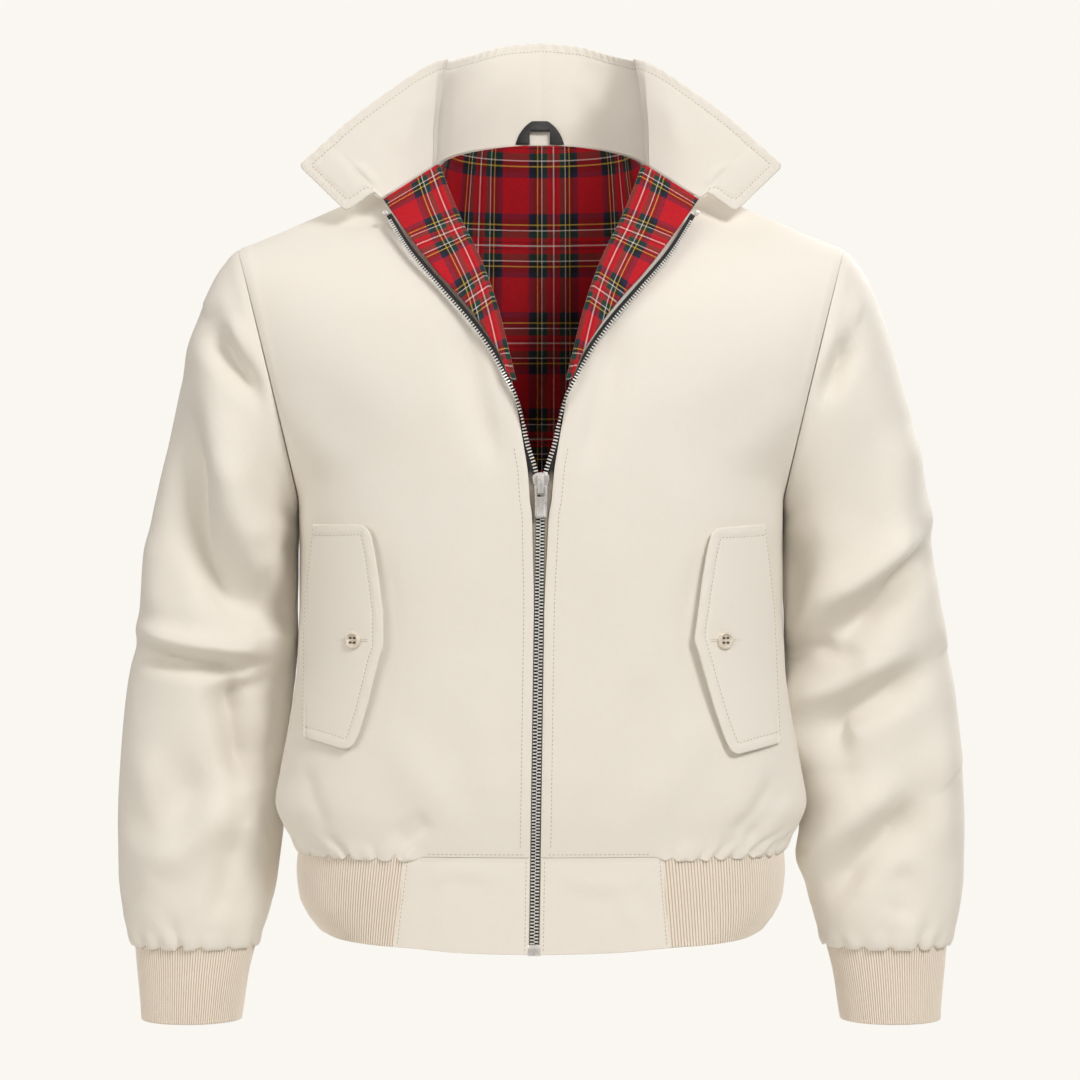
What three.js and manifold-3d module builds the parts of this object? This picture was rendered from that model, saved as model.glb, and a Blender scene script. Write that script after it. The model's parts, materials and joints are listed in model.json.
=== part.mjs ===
// A harrington jacket, filled out as on a wearer but empty: blouson body, set-in sleeves, standing collar
// with its ends and the upper fronts turned out, half-open zip, two slanted pocket flaps, ribbed hem and cuffs.
// Millimetres, +Z up. The wearer faces -Y, and the wearer's left is +X.
// The origin is the middle of the neck, level with the points where the shoulder seams meet the collar.
import * as THREE from "three";
import { mergeVertices } from "three/addons/utils/BufferGeometryUtils.js";
import Module from "manifold-3d";

// ---- Driving dimensions ----
const SHELL = 1.6; // cloth of the fronts, back and sleeves
const LINING = 0.9;
const LINING_DEPTH = 2.1; // from the shell's outer face to the lining's outer face
const COLLAR = 1.8;
const LAPEL = 2.4; // turned-out front: shell and lining together
const FLAP = 2.2;
const RIB = 2.4;
const TAB_CLOTH = 2; // the waistband's plain tabs, two layers of shell cloth
const SEAM_GAP = 0.4;

const WAIST_Z = -573; // seam between the body and the waistband
const SLIDER_Z = -268; // the zip is closed below this height
const SIDE_Y = 8; // side seams, a little behind the middle
const EDGE_X = 7.8; // folded edge of the cloth beside the zip

const SHOULDER = { x: 258, z: -72 }; // outer end of the shoulder seam
const NECK = { x: 88, backY: 85, rise: 30 }; // half width, depth behind the origin, height at the back
const UNDERARM = { x: 205, z: -290 };
const ARMHOLE = { half: 72, scoopFront: 7, scoopBack: 4 }; // half depth, and how far each half curves in

const ZIP_SWING = 5.6; // how far the zip has swung to the wearer's right at the hem
const SWING_REACH = 170; // half width of the front that swings with it

// ---- Small maths ----
const radians = (degrees) => (degrees * Math.PI) / 180;
const mix = (a, b, t) => a + (b - a) * t;
const clamp = (value, low, high) => Math.min(high, Math.max(low, value));
const vec = (x, y, z) => new THREE.Vector3(x, y, z);

function ease(low, high, value) {
  const t = clamp((value - low) / (high - low), 0, 1);
  return t * t * (3 - 2 * t);
}

function bezier(p0, p1, p2, p3, t) {
  const s = 1 - t;
  return vec(0, 0, 0)
    .addScaledVector(p0, s * s * s)
    .addScaledVector(p1, 3 * s * s * t)
    .addScaledVector(p2, 3 * s * t * t)
    .addScaledVector(p3, t * t * t);
}

// A table's rows are joined by smooth curves that never overshoot; the first column is the place along it.
function table(names, rows) {
  const keys = rows.map((row) => row[0]);
  const step = (i, c) => (rows[i + 1][c] - rows[i][c]) / (keys[i + 1] - keys[i]);
  const slope = (i, c) => {
    if (i === 0) return step(0, c);
    if (i === rows.length - 1) return step(i - 1, c);
    const before = step(i - 1, c);
    const after = step(i, c);
    return before * after <= 0 ? 0 : (2 * before * after) / (before + after);
  };
  return (place) => {
    let i = 0;
    while (i < rows.length - 2 && place > keys[i + 1]) i += 1;
    const width = keys[i + 1] - keys[i];
    const t = clamp((place - keys[i]) / width, 0, 1);
    const s = 1 - t;
    return Object.fromEntries(
      names.map((name, c) => [
        name,
        (1 + 2 * t) * s * s * rows[i][c] + t * t * (3 - 2 * t) * rows[i + 1][c] +
          (t * s * s * slope(i, c) - t * t * s * slope(i + 1, c)) * width,
      ]),
    );
  };
}

const spread = (count, low = 0, high = 1) =>
  Array.from({ length: count + 1 }, (_, i) => mix(low, high, i / count));

// ---- Armhole and side seam, shared by the fronts, the back and the sleeves ----
const ARM_START = 0.62; // the part of the way up the body where the side seam ends at the underarm

const armholeAngle = table(["at", "angle"], [
  [ARM_START, -90],
  [0.7, -60],
  [0.77, -30],
  [0.84, 0],
  [0.9, 30],
  [0.95, 60],
  [0.98, 76],
  [1, 90],
]);

const sideSeam = table(["at", "x", "z"], [
  [0, 203, WAIST_Z],
  [0.04, 211, -556],
  [0.09, 216.5, -536],
  [0.16, 214.5, -508],
  [0.25, 210, -470],
  [0.36, 205.5, -420],
  [0.5, 205, -350],
  [ARM_START, UNDERARM.x, UNDERARM.z],
]);

// The armhole at an angle from -90 (underarm) to 90 (shoulder); side is -1 for its front half and 1 for its back.
function armhole(angle, side) {
  const sine = Math.sin(radians(angle));
  const cosine = Math.cos(radians(angle));
  const scoop = side < 0 ? ARMHOLE.scoopFront : ARMHOLE.scoopBack;
  return vec(
    mix(UNDERARM.x, SHOULDER.x, (1 + sine) / 2) - scoop * cosine,
    SIDE_Y + side * ARMHOLE.half * cosine,
    mix(UNDERARM.z, SHOULDER.z, (1 + sine) / 2),
  );
}

function outerEdge(v, side) {
  const seam = sideSeam(v);
  const edge = v <= ARM_START ? vec(seam.x, SIDE_Y, seam.z) : armhole(armholeAngle(v).angle, side);
  edge.y += (side * SEAM_GAP) / 2;
  return edge;
}

// ---- Front panel (the wearer's left), u from its zip edge to its side, v from the waist to the shoulder ----
// in*: the zip edge, which becomes the fold of the turned-out front above the slider; flat and turn: how far the
// row runs straight at its two ends; heading: the way it points at its outer end, 90 being straight back.
const frontRow = table(["at", "inX", "inY", "inZ", "flat", "turn", "heading"], [
  [0, EDGE_X, -113, WAIST_Z, 136, 98, 94],
  [0.04, EDGE_X, -116, -556, 142, 102, 103],
  [0.09, EDGE_X, -119, -536, 145, 104, 106],
  [0.16, EDGE_X, -121, -505, 144, 102, 102],
  [0.25, EDGE_X, -121, -465, 141, 100, 97],
  [0.36, EDGE_X, -121, -410, 139, 98, 92],
  [0.5, EDGE_X, -121, -345, 137, 96, 90],
  [ARM_START, EDGE_X, -121, -282, 134, 92, 90],
  [0.66, 8.6, -121, -264, 128, 78, 78],
  [0.7, 12.6, -120, -249, 118, 64, 65],
  [0.77, 18.6, -116, -214, 98, 50, 48],
  [0.84, 25, -108, -181, 86, 48, 38],
  [0.9, 36, -94, -136, 72, 50, 28],
  [0.95, 53, -61, -84, 62, 52, 18],
  [0.98, 71, -28, -42, 58, 55, 8],
  [1, NECK.x, 0, 0, 57, 57, 0],
]);

function frontPoint(u, v) {
  const row = frontRow(v);
  const outer = outerEdge(v, -1);
  const inner = vec(row.inX, row.inY - SEAM_GAP / 2, row.inZ);
  const heading = radians(row.heading);
  const first = vec(inner.x + row.flat, inner.y, mix(inner.z, outer.z, 1 / 3));
  const second = vec(
    outer.x - row.turn * Math.cos(heading),
    outer.y - row.turn * Math.sin(heading),
    mix(inner.z, outer.z, 2 / 3),
  );
  return bezier(inner, first, second, outer, u);
}

function surfaceNormal(point, u, v) {
  const step = 1e-3;
  const u0 = clamp(u, step, 1 - step);
  const v0 = clamp(v, step, 1 - step);
  const across = point(u0 + step, v0).sub(point(u0 - step, v0));
  const up = point(u0, v0 + step).sub(point(u0, v0 - step));
  return across.cross(up).normalize();
}

// The front panel's point and normal straight behind (x, z): coarse search, then Newton's method.
const COARSE = 40;
const coarseFront = spread(COARSE).flatMap((v) => spread(COARSE / 2).map((u) => ({ u, v, p: frontPoint(u, v) })));

function frontAt(x, z) {
  const away = (entry) => (entry.p.x - x) ** 2 + (entry.p.z - z) ** 2;
  let { u, v } = coarseFront.reduce((best, entry) => (away(entry) < away(best) ? entry : best));
  const step = 1e-4;
  for (let pass = 0; pass < 12; pass += 1) {
    const here = frontPoint(u, v);
    const du = frontPoint(u + step, v).sub(here).divideScalar(step);
    const dv = frontPoint(u, v - step).sub(here).divideScalar(-step);
    const det = du.x * dv.z - dv.x * du.z;
    u = clamp(u + ((x - here.x) * dv.z - (z - here.z) * dv.x) / det, 0, 1);
    v = clamp(v + ((z - here.z) * du.x - (x - here.x) * du.z) / det, 0, 1);
  }
  return { point: frontPoint(u, v), normal: surfaceNormal(frontPoint, u, v) };
}

// ---- Back panel, u from its middle to its side, v from the waist to the shoulder and neck ----
const backRow = table(["at", "midY", "midZ", "flat", "turn", "heading"], [
  [0, 110, WAIST_Z, 122, 80, 92],
  [0.04, 117, -556, 128, 82, 98],
  [0.09, 122, -536, 130, 84, 100],
  [0.16, 125, -505, 128, 82, 97],
  [0.25, 126, -465, 124, 80, 94],
  [0.36, 127, -410, 122, 78, 90],
  [0.5, 128, -345, 120, 76, 90],
  [ARM_START, 129, -286, 116, 72, 90],
  [0.7, 129, -250, 110, 56, 72],
  [0.77, 128, -212, 104, 48, 56],
  [0.84, 125, -165, 100, 48, 44],
]);
const YOKE_START = 0.84; // above this part of the way up, the back rounds over to the neck and shoulders
const NECK_SHARE = 0.36; // the part of the back's top edge that is neckline
const YOKE_RISE = vec(0, 4, 68); // the yoke's pull upwards from the row where it starts
const NECK_PULL = vec(0, 14, -45); // and backwards from the neckline
const SHOULDER_PULL = vec(0, 42, -4); // and from the shoulder seam

function neckline(turn) {
  const angle = radians(turn * 90);
  return vec(NECK.x * Math.sin(angle), NECK.backY * Math.cos(angle), NECK.rise * Math.cos(angle));
}

function backTop(u) {
  if (u < NECK_SHARE) return neckline(u / NECK_SHARE);
  const along = (u - NECK_SHARE) / (1 - NECK_SHARE);
  return vec(mix(NECK.x, SHOULDER.x, along), SIDE_Y * ease(0, 1, along), mix(0, SHOULDER.z, along));
}

function backBezier(u, v) {
  const row = backRow(v);
  const outer = outerEdge(v, 1);
  const middle = vec(0, row.midY, row.midZ);
  const heading = radians(row.heading);
  const first = vec(row.flat, row.midY, mix(middle.z, outer.z, 1 / 3));
  const second = vec(
    outer.x - row.turn * Math.cos(heading),
    outer.y + row.turn * Math.sin(heading),
    mix(middle.z, outer.z, 2 / 3),
  );
  return bezier(middle, first, second, outer, u);
}

function yokePoint(u, v) {
  const start = backBezier(u, YOKE_START);
  const end = backTop(u);
  end.y += SEAM_GAP / 2;
  const pull = NECK_PULL.clone().lerp(SHOULDER_PULL, ease(0, NECK_SHARE, u));
  return bezier(start, start.clone().add(YOKE_RISE), end.clone().add(pull), end, (v - YOKE_START) / (1 - YOKE_START));
}

function backPoint(signedU, v) {
  const u = Math.abs(signedU);
  const point = v <= YOKE_START ? backBezier(u, v) : yokePoint(u, v);
  if (v > YOKE_START) point.addScaledVector(outerEdge(v, 1).sub(yokePoint(1, v)), u ** 3);
  return vec(Math.sign(signedU) * point.x, point.y, point.z);
}

// ---- Walls: closed solids on a grid of points ----
// rows: points of the outer face. The wall lies between lift and lift - thickness along the normals.
function gridNormals(rows, closed, side) {
  const last = rows.length - 1;
  return rows.map((row, i) =>
    row.map((_, j) => {
      const count = row.length;
      const before = closed ? (j + count - 1) % count : Math.max(j - 1, 0);
      const after = closed ? (j + 1) % count : Math.min(j + 1, count - 1);
      const across = row[after].clone().sub(row[before]);
      const up = rows[Math.min(i + 1, last)][j].clone().sub(rows[Math.max(i - 1, 0)][j]);
      return across.cross(up).normalize().multiplyScalar(side);
    }),
  );
}

function wall(rows, thickness, { closed = false, side = 1, lift = 0, edit = null } = {}) {
  const normals = gridNormals(rows, closed, side);
  if (edit) normals.forEach((row, i) => row.forEach((normal, j) => edit(normal, i, j)));
  const height = rows.length;
  const width = rows[0].length;
  const positions = [];
  for (const depth of [lift, lift - thickness]) {
    rows.forEach((row, i) =>
      row.forEach((point, j) => positions.push(...point.clone().addScaledVector(normals[i][j], depth).toArray())),
    );
  }
  const triangles = [];
  const quad = (a, b, c, d) => triangles.push(a, b, c, a, c, d);
  const front = (i, j) => i * width + (j % width);
  const back = (i, j) => front(i, j) + height * width;
  const spans = closed ? width : width - 1;
  for (let i = 0; i < height - 1; i += 1) {
    for (let j = 0; j < spans; j += 1) {
      quad(front(i, j), front(i, j + 1), front(i + 1, j + 1), front(i + 1, j));
      quad(back(i, j), back(i + 1, j), back(i + 1, j + 1), back(i, j + 1));
    }
    if (!closed) {
      quad(front(i, 0), front(i + 1, 0), back(i + 1, 0), back(i, 0));
      quad(front(i, spans), back(i, spans), back(i + 1, spans), front(i + 1, spans));
    }
  }
  for (let j = 0; j < spans; j += 1) {
    quad(front(0, j), back(0, j), back(0, j + 1), front(0, j + 1));
    quad(front(height - 1, j), front(height - 1, j + 1), back(height - 1, j + 1), back(height - 1, j));
  }
  return solid(positions, triangles);
}

// A geometry whose faces point outwards, whichever way its triangles came.
function solid(positions, triangles) {
  const corner = (k) => vec(...positions.slice(3 * triangles[k], 3 * triangles[k] + 3));
  let volume = 0;
  for (let k = 0; k < triangles.length; k += 3) volume += corner(k).dot(corner(k + 1).cross(corner(k + 2)));
  const index = volume < 0 ? triangles.slice().reverse() : triangles;
  const geometry = new THREE.BufferGeometry();
  geometry.setAttribute("position", new THREE.Float32BufferAttribute(positions, 3));
  geometry.setIndex(index);
  return geometry;
}

function movePoints(geometry, move) {
  const place = geometry.attributes.position;
  for (let k = 0; k < place.count; k += 1) place.setXYZ(k, ...move(vec(place.getX(k), place.getY(k), place.getZ(k))).toArray());
  return geometry;
}

function mirrored(geometry) {
  const turned = movePoints(geometry.clone(), (p) => vec(-p.x, p.y, p.z));
  turned.setIndex(Array.from(turned.index.array).reverse());
  return turned;
}

// The zip and the cloth beside it swing a little sideways towards the hem.
function swingOf(x, z) {
  const down = clamp((SLIDER_Z - z) / (SLIDER_Z - WAIST_Z), 0, 1.25);
  return -ZIP_SWING * 0.8 * down * (1 - ease(0, SWING_REACH, Math.abs(x)));
}
const swung = (geometry) => movePoints(geometry, (p) => (p.y < 0 ? vec(p.x + swingOf(p.x, p.z), p.y, p.z) : p));

// ---- The part's tree ----
const jacket = new THREE.Group();
const finishes = {
  shell: { color: 0xe6dfd1, roughness: 0.75, metalness: 0 },
  rib: { color: 0xd8ccba, roughness: 0.9, metalness: 0 },
  tartan: { color: 0xb3121f, roughness: 0.8, metalness: 0 },
  tape: { color: 0x23211f, roughness: 0.9, metalness: 0 },
  ribbon: { color: 0x0c0c0d, roughness: 0.6, metalness: 0 },
  button: { color: 0xd9cbb0, roughness: 0.35, metalness: 0 },
  metal: { color: 0xb9bbbd, roughness: 0.3, metalness: 1 },
};

function add(name, geometry, finish) {
  const mesh = new THREE.Mesh(geometry, new THREE.MeshStandardMaterial(finishes[finish]));
  mesh.name = name;
  jacket.add(mesh);
  return mesh;
}

function addPair(name, geometry, finish, finishing = (g) => g) {
  add(`${name}_left`, finishing(geometry.clone()), finish);
  add(`${name}_right`, finishing(mirrored(geometry)), finish);
}

// ---- Body ----
const BODY_V = [0, 0.035, 0.075, 0.12, 0.19, 0.28, 0.38, 0.5, 0.62, 0.69, 0.76, 0.83, 0.89, 0.94, 0.975, 1];
const FRONT_U = [0, 0.07, 0.17, 0.29, 0.42, 0.55, 0.67, 0.78, 0.88, 0.95, 1];
const BACK_U = [0.12, 0.24, NECK_SHARE, 0.5, 0.64, 0.77, 0.88, 0.95, 1];
const shoulderNormal = vec(-SHOULDER.z, 0, SHOULDER.x - NECK.x).normalize();

const frontRows = BODY_V.map((v) => FRONT_U.map((u) => frontPoint(u, v)));
const frontEdit = (normal, i) => {
  if (i === BODY_V.length - 1) normal.copy(shoulderNormal);
};
addPair("front", wall(frontRows, SHELL, { edit: frontEdit }), "shell", swung);

const backColumns = [...BACK_U.map((u) => -u).reverse(), 0, ...BACK_U];
const backRows = BODY_V.map((v) => backColumns.map((u) => backPoint(u, v)));
const backEdit = (normal, i, j) => {
  const u = backColumns[j];
  if (i === BODY_V.length - 1 && Math.abs(u) >= NECK_SHARE)
    normal.set(Math.sign(u) * shoulderNormal.x, 0, shoulderNormal.z);
};
add("back", wall(backRows, SHELL, { side: -1, edit: backEdit }), "shell");

// The lining follows the inside of the shell and stops short of the zip tape.
const liningFront = frontRows.map((row) => row.slice(1));
addPair("lining_front", wall(liningFront, LINING, { lift: -LINING_DEPTH, edit: frontEdit }), "tartan", swung);
add("lining_back", wall(backRows, LINING, { side: -1, lift: -LINING_DEPTH, edit: backEdit }), "tartan");

// ---- Sleeves: rings from the armhole to the cuff ----
// out*, in*: the ring's outermost and innermost points; midY: its middle; half: half its depth.
const sleeveRing = table(["at", "outX", "outZ", "inX", "inZ", "midY", "half"], [
  [0, SHOULDER.x, SHOULDER.z, UNDERARM.x, UNDERARM.z, SIDE_Y, ARMHOLE.half],
  [0.08, 275, -93, 206.3, -293, 8, 72],
  [0.2, 298, -155, 206.8, -298, 8, 70],
  [0.32, 317, -232, 207, -308, 9, 66],
  [0.44, 330, -300, 207.3, -340, 10, 63],
  [0.54, 339, -368, 208, -388, 11, 61],
  [0.62, 345, -407, 209.5, -420, 12, 60],
  [0.7, 352, -446, 213.5, -458, 12, 58],
  [0.78, 357, -500, 218.5, -508, 12, 55],
  [0.86, 360, -560, 220.5, -562, 12, 52],
  [0.91, 359.5, -600, 224, -602, 11, 49],
  [0.95, 356, -630, 230.5, -631, 10, 46],
  [0.98, 351, -650, 237.5, -650, 10, 42],
  [1, 346, -657.6, 241.5, -657.6, 10, 37],
]);
const SCOOP_FADES = 0.3; // the armhole's scoop is gone by this part of the sleeve
const armholeNormal = vec(SHOULDER.z - UNDERARM.z, 0, UNDERARM.x - SHOULDER.x).normalize();

function sleevePoint(turn, at) {
  const ring = sleeveRing(at);
  const cosine = Math.cos(turn);
  const sine = Math.sin(turn);
  const scoop = sine > 0 ? ARMHOLE.scoopFront : ARMHOLE.scoopBack;
  const fade = (1 - ease(0, SCOOP_FADES, at)) * scoop * Math.abs(sine);
  return vec(
    mix(ring.inX, ring.outX, (1 + cosine) / 2) - fade,
    ring.midY - ring.half * sine,
    mix(ring.inZ, ring.outZ, (1 + cosine) / 2),
  );
}

const SLEEVE_AT = [0, 0.05, 0.12, 0.2, 0.29, 0.38, 0.47, 0.56, 0.65, 0.74, 0.82, 0.89, 0.94, 0.98, 1];
const SLEEVE_TURNS = 18;
const turns = (count) => spread(count, 0, 2 * Math.PI).slice(0, count);
const sleeveRows = SLEEVE_AT.map((at) =>
  turns(SLEEVE_TURNS).map((turn) => sleevePoint(turn, at).addScaledVector(armholeNormal, 1.5 * SEAM_GAP * (1 - at))),
);
const sleeveEdit = (normal, i) => {
  if (i === 0) normal.addScaledVector(armholeNormal, -normal.dot(armholeNormal)).normalize();
  if (i === SLEEVE_AT.length - 1) normal.setZ(0).normalize();
};
addPair("sleeve", wall(sleeveRows, SHELL, { closed: true, edit: sleeveEdit }), "shell");

const cuffRing = table(["at", "z", "midX", "halfX", "halfY"], [
  [0, -658.2, 293.6, 51.5, 36],
  [0.45, -687, 295.4, 46.8, 34],
  [1, -725, 297.2, 42.4, 32],
]);
const cuffRows = spread(3).map((at) => {
  const ring = cuffRing(at);
  return turns(SLEEVE_TURNS).map((turn) =>
    vec(ring.midX + ring.halfX * Math.cos(turn), 10 - ring.halfY * Math.sin(turn), ring.z),
  );
});
const levelEnd = (normal, i) => {
  if (i === 0) normal.setZ(0).normalize();
};
addPair("cuff", wall(cuffRows, RIB, { closed: true, edit: levelEnd }), "rib");

// ---- Waistband: a plain tab on each side of the zip, and rib from tab to tab round the back ----
const HEM_Z = -651.6;
const bandProfile = table(["at", "push"], [
  [0, 0],
  [0.3, 2],
  [0.6, 0.5],
  [0.82, -6],
  [1, -16],
]);
const hemRise = table(["x", "rise"], [
  [0, 0],
  [60, 1.5],
  [110, 5],
  [165, 6.5],
  [186, 9],
  [210, 11],
]);

// round: 0 at the middle of the front, 1 at the side seam, 2 at the middle of the back; down: 0 at the seam.
function bandPoint(round, down) {
  const onFront = round <= 1;
  const along = onFront ? round : 2 - round;
  const point = (u) => (onFront ? frontPoint(clamp(u, 0, 1), 0) : backBezier(clamp(u, 0, 1), 0));
  const here = point(along);
  const step = 1e-3;
  const run = point(along + step).sub(point(along - step)).normalize();
  const outward = onFront ? vec(-run.y, run.x, 0).negate() : vec(-run.y, run.x, 0);
  const ribShare = onFront ? ease(0.3, 0.75, round) : 0.85;
  here.addScaledVector(outward, bandProfile(down).push * ribShare);
  const hem = HEM_Z + (onFront ? hemRise(here.x).rise : hemRise(210).rise);
  here.z = mix(WAIST_Z - SEAM_GAP, hem, down);
  return here;
}

const BAND_DOWN = [0, 0.3, 0.6, 0.82, 1];
const bandGrid = (from, to, count) =>
  BAND_DOWN.map((down) =>
    spread(count).map((t) => bandPoint(mix(mix(from[0], from[1], down), mix(to[0], to[1], down), t), down)),
  );

// Where each tab ends at the seam and at the hem, as parts of the way round.
const TAB_END = { left: [0.262, 0.283], right: [0.292, 0.325] };
const SEAM_SHARE = 0.002; // a seam's gap, as a part of the way round
for (const [hand, end] of Object.entries(TAB_END)) {
  const tab = wall(bandGrid([0, 0], end, 5), TAB_CLOTH, { side: -1, edit: levelEnd });
  add(`waistband_tab_${hand}`, swung(hand === "left" ? tab : mirrored(tab)), "shell");
}

function ribColumns(down) {
  const end = (hand) => mix(...TAB_END[hand], down) + SEAM_SHARE;
  const half = (hand) => [
    ...spread(9, end(hand), 0.995).map((round) => bandPoint(round, down)),
    ...spread(7, 1.03, 2).map((round) => bandPoint(round, down)),
  ];
  const left = half("left");
  const right = half("right").map((p) => vec(-p.x, p.y, p.z));
  return [...left, ...right.slice(0, -1).reverse()];
}
add("waistband_rib", swung(wall(BAND_DOWN.map(ribColumns), RIB, { side: -1, edit: levelEnd })), "rib");

// ---- Turned-out fronts (lapels) ----
// fold*: the roll line; edge*: the cloth's free edge; lift*: how far the two stand in front of the panel.
const lapelRow = table(["at", "foldX", "foldZ", "edgeX", "edgeZ", "liftEdge"], [
  [0, 22.5, -190, 25.5, -188, 3.5],
  [0.16, 29, -163, 35, -165, 4],
  [0.3, 37, -131, 50, -141, 5],
  [0.45, 46, -103, 67, -119, 6],
  [0.6, 56, -78, 86, -97, 8],
  [0.75, 67, -55, 105, -72, 11],
  [0.88, 77.5, -30, 119, -52, 15],
  [1, NECK.x, -1, 132, -33, 20],
]);
const LAPEL_FOLD_LIFT = 1.2;

function lapelPoint(across, at) {
  const row = lapelRow(at);
  const x = mix(row.foldX, row.edgeX, across);
  const z = mix(row.foldZ, row.edgeZ, across);
  const behind = frontAt(x, z).point;
  return vec(x, behind.y - LAPEL - mix(LAPEL_FOLD_LIFT, row.liftEdge, ease(-0.6, 1, across)), z);
}

const lapelRows = spread(11).map((at) => spread(4).map((across) => lapelPoint(across, at)));
addPair("lapel", wall(lapelRows, LAPEL, {}), "tartan");

// ---- Collar: from the middle of the back to the end of one wing ----
const WING_START = 0.5;
const WING_SEAM_END = 0.86;
const collarColumn = table(["at", "lowX", "lowY", "lowZ", "topX", "topY", "topZ"], [
  [0, 0, 86, 31, 0, 108, 124],
  [0.12, 31, 80.5, 29, 31, 104, 120.5],
  [0.25, 59, 64, 23, 57, 86, 110],
  [0.36, 79, 38.5, 14.5, 74, 52, 99],
  [0.44, 87.5, 10, 5.5, 79, 14, 91],
  [0.475, 87.5, -2, 2, 78, -4, 89],
  [WING_START, 91, -8, -1, 86, -9, 86.5],
  [0.58, 98, -15, -9, 104, -11, 77],
  [0.68, 110, -22, -18, 130, -13, 59],
  [0.78, 121, -28, -26, 158, -15, 38],
  [WING_SEAM_END, 132.6, -33, -32, 181, -16.5, 17.5],
  [0.9, 139, -33, -28, 187.5, -17, 11.5],
  [0.95, 150, -32, -35, 196, -17, 4],
  [1, 163, -30, -43.5, 204, -17, -3],
]);

function collarLow(at) {
  const column = collarColumn(at);
  if (at < WING_START || at > WING_SEAM_END) return vec(column.lowX, column.lowY, column.lowZ);
  const along = (at - WING_START) / (WING_SEAM_END - WING_START);
  return lapelPoint(mix(0.07, 1, along), 1).add(vec(0, 0, 1.2));
}

const COLLAR_BOW = 5; // how far the collar curves outwards between its seam and its edge
function collarPoint(at, up) {
  const column = collarColumn(at);
  const point = collarLow(at).lerp(vec(column.topX, column.topY, column.topZ), up);
  const bow = COLLAR_BOW * Math.sin(Math.PI * up) * (1 - ease(0.3, WING_START, at));
  return point.add(vec(0, -bow * 0.4, 0));
}

const COLLAR_AT = [0, 0.1, 0.2, 0.29, 0.37, 0.44, 0.475, 0.5, 0.56, 0.64, 0.72, 0.8, 0.86, 0.9, 0.95, 1];
const collarHalf = spread(5).map((up) => COLLAR_AT.map((at) => collarPoint(at, up)));
const collarRows = collarHalf.map((row) => [
  ...row.slice(1).reverse().map((p) => vec(-p.x, p.y, p.z)),
  ...row,
]);
add("collar", wall(collarRows, COLLAR, { side: 1, lift: 0 }), "shell");

// ---- Hanger loop: a ribbon folded over at the back of the neck ----
const LOOP = { half: 22, topHalf: 7.5, height: 20, holeHalf: 8.7, holeHeight: 10.5, thick: 1.2, y: 82.6, z: 31.4 };
function hangerLoop() {
  const outline = new THREE.Shape();
  outline.moveTo(-LOOP.half, 0);
  outline.quadraticCurveTo(-LOOP.half + 3, LOOP.height * 0.55, -LOOP.topHalf, LOOP.height);
  outline.lineTo(LOOP.topHalf, LOOP.height);
  outline.quadraticCurveTo(LOOP.half - 3, LOOP.height * 0.55, LOOP.half, 0);
  outline.lineTo(LOOP.holeHalf, 0);
  outline.lineTo(LOOP.holeHalf, LOOP.holeHeight);
  outline.lineTo(-LOOP.holeHalf, LOOP.holeHeight);
  outline.lineTo(-LOOP.holeHalf, 0);
  outline.closePath();
  const ribbon = new THREE.ExtrudeGeometry(outline, { depth: LOOP.thick, bevelEnabled: false, curveSegments: 6 });
  return ribbon.rotateX(Math.PI / 2).translate(-1, LOOP.y, LOOP.z);
}
add("hanger_loop", hangerLoop(), "ribbon");

// ---- Pocket flaps: rows from the top edge to the bottom edge, hinge at the outer side ----
const flapRow = {
  left: table(["at", "hingeX", "hingeZ", "freeX", "freeZ"], [
    [0, 180.3, -305, 138.5, -308.6],
    [0.07, 182, -318, 134.8, -315],
    [0.5, 188.8, -375, 121.5, -397],
    [0.93, 192.6, -472, 149.3, -484],
    [1, 193, -484, 154.5, -491.5],
  ]),
  right: table(["at", "hingeX", "hingeZ", "freeX", "freeZ"], [
    [0, 183.9, -305, 139.5, -306],
    [0.07, 185, -318, 134.5, -315],
    [0.42, 191, -368, 124.8, -376],
    [0.56, 192, -400, 124.7, -403.5],
    [0.94, 192, -470, 147.5, -480],
    [1, 191.3, -479.5, 153.5, -487.7],
  ]),
};
const FLAP_AT = { left: [0, 0.07, 0.28, 0.5, 0.72, 0.93, 1], right: [0, 0.07, 0.25, 0.42, 0.56, 0.75, 0.94, 1] };
const FLAP_REST = 2; // the flap's clearance at its stitched edge
const FLAP_OPEN = 4.2; // and at its free edge

function flapPoint(x, z) {
  const behind = frontAt(x, z);
  const open = ease(0, 1, (192 - x) / 66);
  return behind.point.addScaledVector(behind.normal, FLAP + mix(FLAP_REST, FLAP_OPEN, open));
}

function pocketFlap(hand) {
  const rows = FLAP_AT[hand].map((at) => {
    const row = flapRow[hand](at);
    return spread(5).map((t) => flapPoint(mix(row.freeX, row.hingeX, t), mix(row.freeZ, row.hingeZ, t)));
  });
  return wall(rows, FLAP, { side: -1 });
}
add("pocket_flap_left", swung(pocketFlap("left")), "shell");
add("pocket_flap_right", swung(mirrored(pocketFlap("right"))), "shell");

// ---- Buttons: dished discs with four holes ----
const wasm = await Module();
wasm.setup();

function asManifold(geometry) {
  const bare = new THREE.BufferGeometry();
  bare.setAttribute("position", geometry.getAttribute("position").clone());
  if (geometry.index) bare.setIndex(geometry.index.clone());
  const merged = mergeVertices(bare, 1e-4);
  return new wasm.Manifold(
    new wasm.Mesh({
      numProp: 3,
      vertProperties: merged.attributes.position.array,
      triVerts: new Uint32Array(merged.index.array),
    }),
  );
}

function asGeometry(manifold) {
  const mesh = manifold.getMesh();
  return solid(Array.from(mesh.vertProperties), Array.from(mesh.triVerts));
}

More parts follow.
